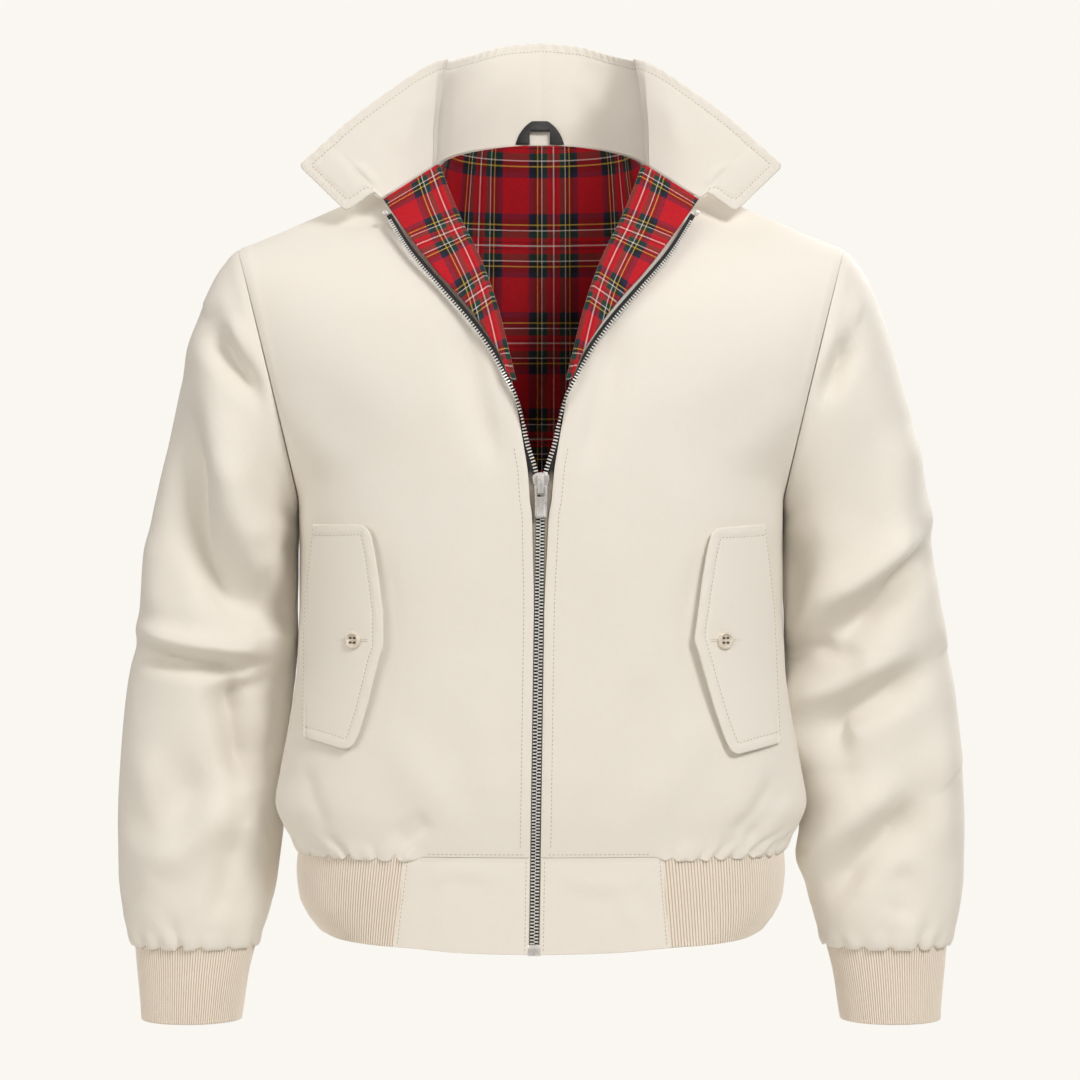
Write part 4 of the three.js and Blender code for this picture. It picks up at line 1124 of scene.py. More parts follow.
@dataclass(frozen=True)
class ZipTape:
    """Herringbone tape: taupe where the zip is closed and near black where it is open."""

    closed: Colour = (0.46, 0.40, 0.33)
    opened: Colour = (0.018, 0.017, 0.018)
    gap: Colour = (0.006, 0.005, 0.005)

    def build(self) -> Material:
        """Returns the finish."""
        n = Nodes("zip_tape")
        _, u, v = n.uv()
        height = n.add("SeparateXYZ", {0: n.place()}).outputs[2]
        zigzag = n.math("PINGPONG", u, 0.0012)
        bone = wave(n, n.math("ADD", v, zigzag), 0.0010)
        outer = n.blend(n.range(height, -0.275, -0.262, 0, 1), (*self.closed, 1), (*self.opened, 1))
        base = n.blend(n.range(u, 0.0030, 0.0040, 1, 0), outer, (*self.opened, 1))
        n.dress(n.blend(n.range(bone, -1, 1, 0.0, 0.25), base, (*self.gap, 1)), roughness=0.8)
        n.bumped(bone, 0.00015, 0.6)
        return n.material


@dataclass(frozen=True)
class ZipMetal:
    """Brushed nickel, worn a little in random flecks."""

    name: str
    colour: Colour = (0.80, 0.79, 0.77)
    roughness: float = 0.27
    metallic: float = 1.0
    grime: Colour = (0.25, 0.235, 0.22)

    def build(self) -> Material:
        """Returns the finish."""
        n = Nodes(self.name)
        where = n.place()
        scratch = n.noise(n.add("Mapping", {0: where, 3: (900, 900, 120)}).outputs[0], 1, 3, 0.6)
        grime = n.noise(where, 500, 2)
        n.dress(n.blend(n.range(grime, 0.5, 0.8, 0, 0.3), (*self.colour, 1), (*self.grime, 1)),
                metallic=self.metallic,
                roughness=n.range(scratch, 0.3, 0.7, self.roughness - 0.08, self.roughness + 0.14))
        n.bumped(scratch, 0.00003, 0.5)
        return n.material


@dataclass(frozen=True)
class Horn:
    """Pale horn-look button, a little cloudy, with a satin polish."""

    colour: Colour = (0.84, 0.77, 0.66)
    vein: Colour = (0.64, 0.54, 0.41)

    def build(self) -> Material:
        """Returns the finish."""
        n = Nodes("button_horn")
        where = n.place()
        veins = n.noise(n.add("Mapping", {0: where, 3: (160, 160, 700)}).outputs[0], 1, 4, 0.6)
        n.dress(n.blend(n.range(veins, 0.4, 0.68, 0, 0.8), (*self.colour, 1), (*self.vein, 1)),
                roughness=0.32, coat_weight=0.2)
        n.bumped(veins, 0.00003, 0.4)
        return n.material


@dataclass(frozen=True)
class Ribbon:
    """Glossy black satin ribbon."""

    colour: Colour = (0.012, 0.012, 0.013)
    worn: Colour = (0.03, 0.03, 0.033)

    def build(self) -> Material:
        """Returns the finish."""
        n = Nodes("loop_ribbon")
        _, u, v = n.uv()
        grain = wave(n, v, 0.0005)
        cloud = n.range(n.noise(n.place(), 300), 0.3, 0.7, 0, 0.5)
        n.dress(n.blend(cloud, (*self.colour, 1), (*self.worn, 1)), roughness=0.34, sheen_weight=0.2)
        n.bumped(n.math("ADD", grain, wave(n, u, 0.0009)), 0.00006, 0.5)
        return n.material


@dataclass(frozen=True)
class SewingThread:
    """Twisted cotton thread, a shade deeper than its cloth."""

    name: str = "thread"
    colour: Colour = (0.60, 0.52, 0.42)

    def build(self) -> Material:
        """Returns the finish."""
        n = Nodes(self.name)
        twist = n.noise(n.place(), 1400, 2)
        shade = (*(c * 0.7 for c in self.colour), 1)
        n.dress(n.blend(n.range(twist, 0.35, 0.65, 0, 0.5), (*self.colour, 1), shade),
                roughness=0.8, sheen_weight=0.2)
        n.bumped(twist, 0.0001, 0.5)
        return n.material


Finish = ShellCloth | RibKnit | Tartan | ZipTape | ZipMetal | Horn | Ribbon | SewingThread


def made(finish: Finish, *name: str) -> Material:
    """Returns a dataclass field that builds a finish, given its name where pieces share its class."""
    return field(default_factory=lambda: finish.build(*name))


@dataclass
class Finishes:
    """Every finish of the jacket, each made once."""

    shell: Material = made(ShellCloth())
    rib: Material = made(RibKnit(0.0023), "rib_knit_waist")
    cuff: Material = made(RibKnit(0.00225), "rib_knit_cuff")
    tartan_body: Material = made(Tartan(), "tartan_body")
    tartan_lapel: Material = made(Tartan(down=0.0697, pivot_across=0.016, pivot_down=0.012), "tartan_lapel")
    tape: Material = made(ZipTape())
    metal: Material = made(ZipMetal("zip_metal", (0.92, 0.91, 0.89), 0.3, 0.75))
    teeth: Material = made(ZipMetal("zip_teeth", (0.93, 0.92, 0.90), 0.42, 0.55))
    horn: Material = made(Horn())
    ribbon: Material = made(Ribbon())
    thread: Material = made(SewingThread())
    # near black: painted shade for the button's holes, carried by the thread that lies across them
    button_thread: Material = made(SewingThread("button_thread", (0.10, 0.075, 0.055)))


# ---------------------------------------------------------------- body


def fine_ends(count: int, near: Sequence[float] = (0, 0.003, 0.009)) -> Array:
    """Returns shares from 0 to 1 that are closer together at both ends."""
    near = np.array(near)
    return np.concatenate([near, np.linspace(near[-1] * 2, 1 - near[-1] * 2, count), 1 - near[::-1]])


def even_rows(read: Callable[[Array], Array], count: int) -> Array:
    """Returns places from 0 to 1 at even distances along the line that read gives."""
    dense = np.linspace(0, 1, 400)
    line = read(dense)
    along = np.concatenate([[0], np.cumsum(np.linalg.norm(np.diff(line, axis=0), axis=1))])
    return np.interp(np.linspace(0, along[-1], count), along, dense)


@dataclass
class Body:
    """The two fronts and the back, with their linings."""

    finishes: Finishes
    cloth: float = 1.1
    lining: float = 0.7
    lining_depth: float = 2.1
    front_rows: int = 190
    front_columns: int = 88
    back_rows: int = 180
    back_columns: int = 168
    seam_sink: float = 0.55
    gather_start: float = 98
    stitch_inset: float = 8.0
    stitch_top: float = 0.715
    thread: Thread = field(default_factory=Thread)
    hem_tucks: dict[Hand, tuple[Gather, ...]] = field(default_factory=lambda: {
        Hand.LEFT: (Gather(107, 2.4, 2.4, 9, -0.5), Gather(129, 1.5, 2.2, 7, 0.3),
                    Gather(141, 2.2, 2.4, 12, 0.5),
                    Gather(155, 1.3, 2.2, 7, 0.2), Gather(172, 2.8, 2.6, 20, 0.9),
                    Gather(192, 1.6, 2.4, 9, 0.5),
                    Gather(206, 2.6, 2.8, 17, 0.4), Gather(229, 1.7, 2.6, 10),
                    Gather(249, 2.5, 3, 18, 0.1)),
        Hand.RIGHT: (Gather(117, 2.9, 2.4, 15, -1.1), Gather(133, 1.9, 2.2, 9, -0.3),
                     Gather(158, 2.8, 2.6, 16, 0.4),
                     Gather(178, 1.9, 2.4, 12, 0.8), Gather(201, 2.5, 2.8, 18, 0.3),
                     Gather(219, 1.4, 2.4, 8),
                     Gather(240, 2.6, 3, 18, 0.2))})
    back_tucks: tuple[Gather, ...] = (
        Gather(-226, 2.4, 2.8, 17, 0.2), Gather(-207, 1.5, 2.4, 9), Gather(-186, 2.7, 3, 22, -0.3),
        Gather(-160, 1.6, 2.4, 10), Gather(-147, 2.4, 2.8, 17, 0.2), Gather(-119, 1.8, 2.6, 12, -0.2),
        Gather(-98, 2.7, 3, 24, 0.2), Gather(-72, 1.6, 2.4, 9), Gather(-57, 2.3, 2.8, 16, -0.2),
        Gather(-31, 1.8, 2.6, 11), Gather(-12, 2.6, 3, 21, 0.1), Gather(17, 2.4, 2.8, 17, -0.1),
        Gather(31, 1.5, 2.4, 9), Gather(60, 2.7, 3, 22, 0.2), Gather(77, 1.6, 2.4, 10),
        Gather(103, 2.4, 2.8, 18, -0.2),
        Gather(129, 1.9, 2.6, 12), Gather(147, 2.6, 3, 20, 0.3), Gather(176, 1.6, 2.4, 10),
        Gather(189, 2.5, 2.8, 19, 0.3),
        Gather(214, 1.7, 2.6, 11), Gather(230, 2.4, 2.8, 16))
    front_creases: dict[Hand, tuple[Crease, ...]] = field(default_factory=lambda: {
        Hand.LEFT: (
            Crease(((64, -132), (50, -206), (30, -270)), -5, 14, 0.3),
            Crease(((150, -560), (174, -538), (194, -504)), -4.2, 7, -0.8),
            Crease(((132, -318), (119, -396), (146, -490)), -2.6, 10, -0.2),
            Crease(((168, -562), (178, -551)), -1.6, 4, -0.5),
            Crease(((226, -196), (190, -230), (140, -262)), 2.6, 20, 0.5),
            Crease(((199, -300), (196, -350), (200, -410)), -3.0, 9, -0.3),
            Crease(((40, -290), (70, -380), (84, -470)), 1.5, 26, 0.6),
            Crease(((70, -545), (110, -505), (135, -455)), 1.6, 18, 0.5),
            Crease(((30, -540), (50, -480), (54, -410)), 1.2, 16, 0.6)),
        Hand.RIGHT: (
            Crease(((66, -130), (52, -204), (30, -268)), -5.5, 14, 0.3),
            Crease(((119, -568), (98, -553), (84, -544)), -3.2, 5, -0.7),
            Crease(((132, -312), (120, -396), (144, -486)), -2.6, 10, -0.2),
            Crease(((228, -190), (196, -232), (150, -268)), 2.8, 20, 0.5),
            Crease(((199, -296), (197, -350), (201, -404)), -3.2, 9, -0.3),
            Crease(((44, -300), (78, -396), (96, -480)), 1.4, 26, 0.6),
            Crease(((60, -548), (96, -512), (122, -462)), 1.8, 17, 0.5),
            Crease(((172, -556), (186, -528), (194, -498)), -2.6, 8, -0.5),
            Crease(((28, -548), (44, -490), (50, -430)), 1.3, 15, 0.6))})
    back_creases: tuple[Crease, ...] = (
        Crease(((-214, -232), (-166, -270), (-92, -286)), -6.5, 13, -0.5),
        Crease(((212, -222), (170, -270), (104, -300)), -6.0, 14, 0.5),
        Crease(((-196, -318), (-138, -366), (-66, -384)), -5.0, 15, -0.55),
        Crease(((190, -334), (144, -382), (80, -414)), -5.4, 15, 0.5),
        Crease(((-130, -556), (-118, -500), (-92, -438)), 4.4, 15, 0.6),
        Crease(((126, -558), (106, -494), (94, -426)), 4.8, 16, 0.5),
        Crease(((-20, -556), (-36, -486), (-30, -396)), 3.6, 16, 0.6),
        Crease(((48, -556), (36, -504), (46, -446)), 3.2, 13, 0.5),
        Crease(((-186, -548), (-170, -512), (-160, -470)), -4.0, 10, -0.5),
        Crease(((180, -550), (172, -508), (150, -476)), -3.6, 10, 0.5),
        Crease(((-196, -120), (-120, -118), (-30, -132)), 2.8, 20, 0.5),
        Crease(((190, -112), (110, -116), (24, -138)), 2.6, 20, -0.5),
        Crease(((-30, -160), (-12, -250), (-22, -340)), 1.8, 30, 0.5))

    def build(self) -> None:
        """Builds the fronts, the back and the linings."""
        for hand in Hand:
            self.front(hand)
        self.thread.finish("front_stitching", self.finishes.thread, "shell_cloth")
        self.back()
        self.linings()

    def front_grid(self, u: Array, v: Array) -> Array:
        """Returns a front with the step at the underarm softened."""
        grid = CUT.front(u[None, :], v[:, None])
        passes = int((26 / 619 * len(v)) ** 2 * 2)
        share = bump(v[:, None] - CUT.arm_start, 0.13) * ease(1, 0.93, u)[None, :]
        return settled(grid, 0, passes, share)

    def back_grid(self, u: Array, v: Array) -> Array:
        """Returns the back with the steps at the underarm and below the collar softened."""
        grid = CUT.back(u[None, :], v[:, None])
        passes = int((26 / 637 * len(v)) ** 2 * 2)
        share = bump(v[:, None] - CUT.arm_start, 0.13) * ease(1, 0.93, np.abs(u))[None, :]
        grid = settled(grid, 0, passes, share)
        yoke = ease(0.80, 0.88, v) * ease(1.0, 0.96, v)
        near = bump(np.abs(u) - CUT.neck_share, 0.15)
        grid = settled(grid, 1, int((24 / 649 * len(u)) ** 2 * 2), yoke[:, None] * near[None, :])
        seam = bump(v - CUT.yoke_start, 0.06)[:, None] * ease(1, 0.9, np.abs(u))[None, :]
        return settled(grid, 0, passes // 3, seam)

    def overhang(self, points: Array, normals: Array, along: Array, up: Array, share: Array,
                 tucks: Sequence[Gather]) -> Array:
        """Blouses a panel over the band below it.

        Args:
            points: Rows of points, the seam's row first.
            normals: Their outward normals.
            along: Place along the seam.
            up: Height above the seam.
            share: How much of the seam is gathered, 0 to 1.
            tucks: The tucks.

        Returns:
            The points, with rows added that turn the edge under.
        """
        level = unit(normals * np.array([1, 1, 0]))
        tucked = gathered(along, up, tucks) * share
        moved = points + normals * tucked[..., None]
        near = (1 - ease(0, 17, up)) * share
        moved = moved + level * (2.3 * near)[..., None]
        moved[..., 2] -= 3.4 * (1 - notched(along[:1], tucks)) * (1 - ease(0, 11, up)) * share
        first, side, held = moved[0], level[0], share[0][:, None]
        lip = first - side * mix(0.5, 1.6, held)
        lip[:, 2] -= mix(0.0, 0.7, share[0])
        under = first - side * mix(1.0, 3.2, held)
        under[:, 2] += mix(0.2, 1.4, share[0])
        return np.concatenate([under[None], lip[None], moved], 0)

    def front(self, hand: Hand) -> None:
        """Builds one front."""
        v = even_rows(lambda t: CUT.front(np.full_like(t, 0.45), t), self.front_rows)
        u = fine_ends(self.front_columns, (0, 0.004, 0.012, 0.024))
        grid = self.front_grid(u, v)
        normals = outward_normals(grid, False, np.array([0, -1, 0]))
        place = cloth_coordinates(grid, False)
        along = np.broadcast_to(place[:1, :, 0] + 7.8, grid.shape[:2])
        up = place[..., 1]
        x, z = grid[..., 0], grid[..., 2]
        lift = self.front_lift(hand, grid)
        side = place[:, -1:, 0] - place[..., 0]
        lift -= self.seam_sink * bump(side, 2.6)
        lift += 0.5 * bump(side - 7, 4)
        lift += self.edge_pucker(place[..., 0], up) * ease(0, 20, up)
        points = grid + normals * lift[..., None]
        share = ease(self.gather_start - 5, self.gather_start + 8, along)
        points = self.overhang(points, normals, along, up, share, self.hem_tucks[hand])
        points = CUT.swing(CUT.over_tape(points) * np.array([hand.value, 1, 1]))
        name = f"front_{hand.word}"
        toward = np.array([0, -1, 0])
        rows = 2 + int(np.searchsorted(v, self.stitch_top))
        self.thread.run(*inside_line(points[2:rows], toward, Border.FIRST_COLUMN, self.stitch_inset,
                                     (6, 0)))
        held = int(np.searchsorted(along[0], self.gather_start - 6))
        self.thread.run(*inside_line(points[2:, :held], toward, Border.FIRST_ROW, 2.4, (2, 0)))
        piece = cloth_wall(name + "_panel", points, self.cloth, toward, self.finishes.shell, edge=0.5)
        declare(piece, [name])

    def front_lift(self, hand: Hand, grid: Array) -> Array:
        """Returns how far a front's creases raise each point of a grid of it."""
        place = cloth_coordinates(grid, False)
        keep = ease(0, 26, place[..., 0]) * ease(0, 14, place[:, -1:, 0] - place[..., 0])
        return folded(grid[..., 0], grid[..., 2], self.front_creases[hand]) * keep

    def edge_pucker(self, across: Array, up: Array) -> Array:
        """Returns the faint puckers beside the stitching of the zip's edge."""
        ripple = np.sin(up / 5.3 + 1.3 * np.sin(up / 31)) * (0.6 + 0.4 * np.sin(up / 83))
        return 0.16 * ripple * bump(across - 6, 4.5) + 0.35 * bump(across - 3.5,
                                                                   3.2) - 0.3 * bump(across - 8, 1.1)

    def back(self) -> None:
        """Builds the back."""
        v = even_rows(lambda t: CUT.back(np.full_like(t, 0.4), t), self.back_rows)
        u = 2 * fine_ends(self.back_columns, (0, 0.002, 0.006, 0.012)) - 1
        grid = self.back_grid(u, v)
        normals = outward_normals(grid, False, np.array([0, 1, 0]))
        place = cloth_coordinates(grid, False)
        middle = place[:, -1:, 0] / 2
        along = np.broadcast_to((place[..., 0] - middle)[:1], grid.shape[:2])
        side = np.minimum(place[..., 0], place[:, -1:, 0] - place[..., 0])
        lift = self.back_lift(grid)
        lift -= self.seam_sink * bump(side, 2.6) - 0.5 * bump(side - 7, 4)
        points = grid + normals * lift[..., None]
        points = self.overhang(points, normals, along, place[..., 1], np.ones(along.shape), self.back_tucks)
        piece = cloth_wall("back_panel", points, self.cloth, np.array([0, 1, 0]), self.finishes.shell,
                           edge=0.5)
        declare(piece, ["back"])

    def back_lift(self, grid: Array) -> Array:
        """Returns how far the back's creases raise each point of a grid of it."""
        place = cloth_coordinates(grid, False)[..., 0]
        keep = ease(0, 16, np.minimum(place, place[:, -1:] - place))
        return folded(grid[..., 0], grid[..., 2], self.back_creases) * keep

    def linings(self) -> None:
        """Builds the tartan linings of the fronts and the back."""
        u, v = np.linspace(0, 1, 44), np.linspace(0.0, 1, 96)
        for hand in Hand:
            grid = self.front_grid(u, v)
            normals = outward_normals(grid, False, np.array([0, -1, 0]))
            sink = self.lining_depth + np.maximum(0, -self.front_lift(hand, grid))
            points = CUT.swing((grid - normals * sink[..., None]) * np.array([hand.value, 1, 1]))
            name = f"lining_front_{hand.word}"
            place = np.stack([points[..., 0], points[..., 2]], -1)
            piece = cloth_wall(name + "_cloth", points, self.lining, np.array([0, -1, 0]),
                               self.finishes.tartan_body, uv=place)
            declare(piece, [name])
        u = np.linspace(-1, 1, 64)
        grid = self.back_grid(u, v)
        normals = outward_normals(grid, False, np.array([0, 1, 0]))
        place = cloth_coordinates(grid, False)
        soft = np.maximum(0, -self.back_lift(grid)) + folded(grid[..., 0], grid[..., 2], (
            Crease(((-52, 10), (-44, -60), (-30, -130)), 1.8, 13, 0.6),
            Crease(((38, 6), (34, -70), (40, -150)), 1.6, 14, 0.6),
            Crease(((-66, -40), (-20, -120), (30, -210)), 1.6, 18, 0.4)))
        points = grid - normals * (self.lining_depth + 1.8 + soft)[..., None]
        across = place[..., 0] - place[:, -1:, 0] / 2
        chart = np.stack([across, points[..., 2] + 56.6], -1)
        piece = cloth_wall("lining_back_cloth", points, self.lining, np.array([0, 1, 0]),
                           self.finishes.tartan_body, uv=chart)
        declare(piece, ["lining_back"])


# ---------------------------------------------------------------- sleeves and cuffs


@dataclass
class Sleeves:
    """The two sleeves, gathered into their rib cuffs."""

    finishes: Finishes
    cloth: float = 1.1
    rows: int = 196
    columns: int = 104
    rib_pitch: float = 2.25
    rib_depth: float = 1.0
    cuff_wall: float = 1.7
    lean_in: float = 2.4
    depth: float = 1.2
    into_body: Array = field(default_factory=lambda: np.array([-0.972, 0, 0.236]))
    front_creases: dict[Hand, tuple[Crease, ...]] = field(default_factory=lambda: {
        Hand.RIGHT: (
            Crease(((274, -138), (254, -172), (219, -206)), -14, 11, 0.6),
            Crease(((304, -186), (294, -256), (285, -312), (256, -362), (204, -392)), -24, 19, 0.6),
            Crease(((213, -300), (214, -350), (212, -400)), -9, 12, 0),
            Crease(((256, -236), (246, -290), (230, -330)), 7, 17, 0.3),
            Crease(((350, -406), (318, -415), (292, -420), (250, -425), (204, -423)), -15, 9, 0.7),
            Crease(((204, -402), (230, -396), (250, -402)), 5, 9, 0.5),
            Crease(((204, -428), (240, -444), (264, -438)), -7, 9, -0.5),
            Crease(((266, -430), (248, -476), (236, -532)), -24, 17, -0.3),
            Crease(((322, -600), (288, -564), (252, -528)), 9, 18, 0.7),
            Crease(((250, -556), (262, -600), (274, -644)), -6, 11, -0.6),
            Crease(((334, -480), (322, -550), (326, -625)), 5, 17, 0.5),
            Crease(((330, -300), (326, -350), (318, -390)), 4, 14, 0.5)),
        Hand.LEFT: (
            Crease(((258, -146), (243, -176), (222, -206)), -14, 11, 0.7),
            Crease(((213, -300), (214, -350), (212, -404)), -9, 12, 0),
            Crease(((306, -216), (298, -276), (290, -330)), 6, 20, 0.4),
            Crease(((332, -322), (302, -351), (273, -376), (218, -413)), -24, 14, 0.8),
            Crease(((210, -396), (240, -414), (270, -410)), -8, 10, -0.6),
            Crease(((330, -418), (284, -446), (243, -470), (252, -508)), -19, 14, 0.6),
            Crease(((324, -532), (286, -564), (256, -592), (230, -632)), -17, 15, 0.65),
            Crease(((340, -460), (334, -530), (338, -594)), 5, 16, 0.5),
            Crease(((300, -582), (306, -615), (300, -642)), -4.5, 10, -0.5))})
    back_creases: dict[Hand, tuple[Crease, ...]] = field(default_factory=lambda: {
        Hand.RIGHT: (
            Crease(((262, -154), (240, -194), (220, -230)), -8, 13, -0.6),
            Crease(((308, -210), (292, -290), (256, -352), (208, -376)), -14, 19, -0.55),
            Crease(((342, -390), (296, -402), (236, -424)), 8, 13, 0.7),
            Crease(((344, -436), (300, -440), (220, -462)), -9, 11, -0.7),
            Crease(((324, -496), (276, -540), (240, -600)), -10, 15, 0.5)),
        Hand.LEFT: (
            Crease(((260, -150), (242, -188), (218, -228)), -8, 13, 0.6),
            Crease(((304, -200), (294, -284), (262, -346), (210, -384)), -13, 19, 0.5),
            Crease(((340, -384), (292, -400), (240, -420)), 8, 13, 0.7),
            Crease(((344, -430), (292, -446), (222, -456)), -9, 10, 0.7),
            Crease(((326, -506), (284, -548), (246, -604)), -9, 15, 0.5))})
    tucks: dict[Hand, tuple[Gather, ...]] = field(default_factory=lambda: {
        Hand.RIGHT: (Gather(11, 1.5, 2.2, 9), Gather(30, 1.8, 2.4, 11), Gather(45, 1.6, 2.2, 9, 0.2),
                     Gather(63, 3.1, 2.4, 23, -0.25), Gather(79, 1.9, 2.4, 10), Gather(103, 1.5, 2.4, 9),
                     Gather(126, 2.5, 2.8, 17), Gather(141, 1.5, 2.4, 8), Gather(163, 2.6, 2.8, 19, 0.2),
                     Gather(182, 1.6, 2.4, 9), Gather(199, 2.4, 2.8, 16), Gather(228, 2.2, 2.6, 14, -0.2),
                     Gather(246, 1.6, 2.4, 10), Gather(263, 2, 2.6, 12)),
        Hand.LEFT: (Gather(14, 1.6, 2.2, 9), Gather(33, 1.9, 2.4, 10), Gather(49, 3.0, 2.4, 21, -0.2),
                    Gather(72, 2.3, 2.4, 15, 0.2), Gather(94, 1.9, 2.6, 10), Gather(111, 1.5, 2.4, 8),
                    Gather(133, 2.5, 2.8, 18), Gather(152, 1.6, 2.4, 10), Gather(167, 2.4, 2.8, 17, -0.2),
                    Gather(193, 1.7, 2.4, 10), Gather(208, 2.5, 2.8, 18), Gather(232, 1.6, 2.6, 10, 0.2),
                    Gather(254, 2.2, 2.8, 14))})

    def build(self) -> None:
        """Builds both sleeves and both cuffs."""
        for hand in Hand:
            self.sleeve(hand)
            self.cuff(hand)

    def sleeve(self, hand: Hand) -> None:
        """Builds one sleeve."""
        at = even_rows(lambda t: CUT.sleeve(np.full_like(t, np.pi / 2), t), self.rows)
        turn = np.linspace(0, 2 * np.pi, self.columns, endpoint=False)
        grid = CUT.sleeve(turn[None, :], at[:, None])
        centre = grid.mean(1, keepdims=True)
        normals = outward_normals(grid, True, grid - centre)
        place = cloth_coordinates(grid, True)[:, :-1]
        from_armhole, from_cuff = place[..., 1], place[-1:, :, 1] - place[..., 1]
        facing = np.broadcast_to(np.sin(turn), grid.shape[:2])
        x, z = grid[..., 0], grid[..., 2]
        front, back = ease(-0.15, 0.35, facing), ease(0.15, -0.35, facing)
        lift = self.depth * folded(x, z, self.front_creases[hand]) * front + folded(x, z,
            self.back_creases[hand]) * back
        lift = lift * ease(-4, 30, from_armhole) * ease(0, 12, from_cuff)
        lift -= 0.5 * bump(from_armhole, 2.2) - 0.9 * bump(from_armhole - 7, 5)
        points = grid + normals * lift[..., None]
        points = points + self.into_body * (0.58 * (1 - ease(0, 20, from_armhole)))[..., None]
        beside = ease(0.55, 0.98, -np.cos(turn)) * ease(-292, -312, z) * ease(-540, -470, z)
        points[..., 0] -= self.lean_in * beside
        along = np.broadcast_to(place[-1:, :, 0], grid.shape[:2])
        tucked = gathered(along, from_cuff, self.tucks[hand])
        points = points + normals * tucked[..., None]
        level = unit((points - points.mean(1, keepdims=True)) * np.array([1, 1, 0]))
        near = 1 - ease(0, 16, from_cuff)
        points = points + level * (1.9 * near)[..., None]
        points[..., 2] -= 3.4 * (1 - notched(along[:1], self.tucks[hand])) * (1 - ease(0, 10, from_cuff))
        last, side = points[-1], level[-1]
        lip, under = last - side * 1.4 - np.array([0, 0, 0.6]), last - side * 2.8 + np.array([0, 0, 1.4])
        start, inward = points[0], unit(centre[0] - points[0])
        allowance = start + inward * 1.3 - self.into_body * 1.4
        points = np.concatenate([allowance[None], points, lip[None], under[None]],
                                0) * np.array([hand.value, 1, 1])
        name = f"sleeve_{hand.word}"
        piece = cloth_wall(name + "_tube", points, self.cloth, points - points.mean(1, keepdims=True),
                           self.finishes.shell, closed=True)
        declare(piece, [name])

    def cuff(self, hand: Hand) -> None:
        """Builds one rib cuff."""
        size = CUT.cuff(np.linspace(0, 2 * np.pi, 400), np.zeros(400))
        ribs = int(np.linalg.norm(np.diff(size, axis=0), axis=1).sum() / self.rib_pitch)
        even = even_rows(lambda t: CUT.cuff(2 * np.pi * t, np.zeros_like(t)), ribs * 6 + 1)[:-1]
        turn = 2 * np.pi * even
        down = fine_ends(10, (0, 0.01, 0.03))
        grid = CUT.cuff(turn[None, :], down[:, None])
        normals = outward_normals(grid, True, grid - grid.mean(1, keepdims=True))
        crest = np.abs(np.sin(np.pi * np.arange(ribs * 6) / 6)) ** 0.7
        lift = self.rib_depth * (crest[None, :] - 0.8) * ease(0, 0.02, down)[:, None] ** 0.5
        ripple = 0.5 * np.sin(3 * turn[None, :] + 4 * down[:, None]) * np.sin(np.pi * down)[:, None]
        points = (grid + normals * (lift + ripple)[..., None]) * np.array([hand.value, 1, 1])
        name = f"cuff_{hand.word}"
        piece = cloth_wall(name + "_rib", points, self.cuff_wall, points - points.mean(1, keepdims=True),
                           self.finishes.cuff, closed=True, edge=0.8,
                           uv=rib_chart(points, self.rib_pitch, True))
        declare(piece, [name])


# ---------------------------------------------------------------- waistband


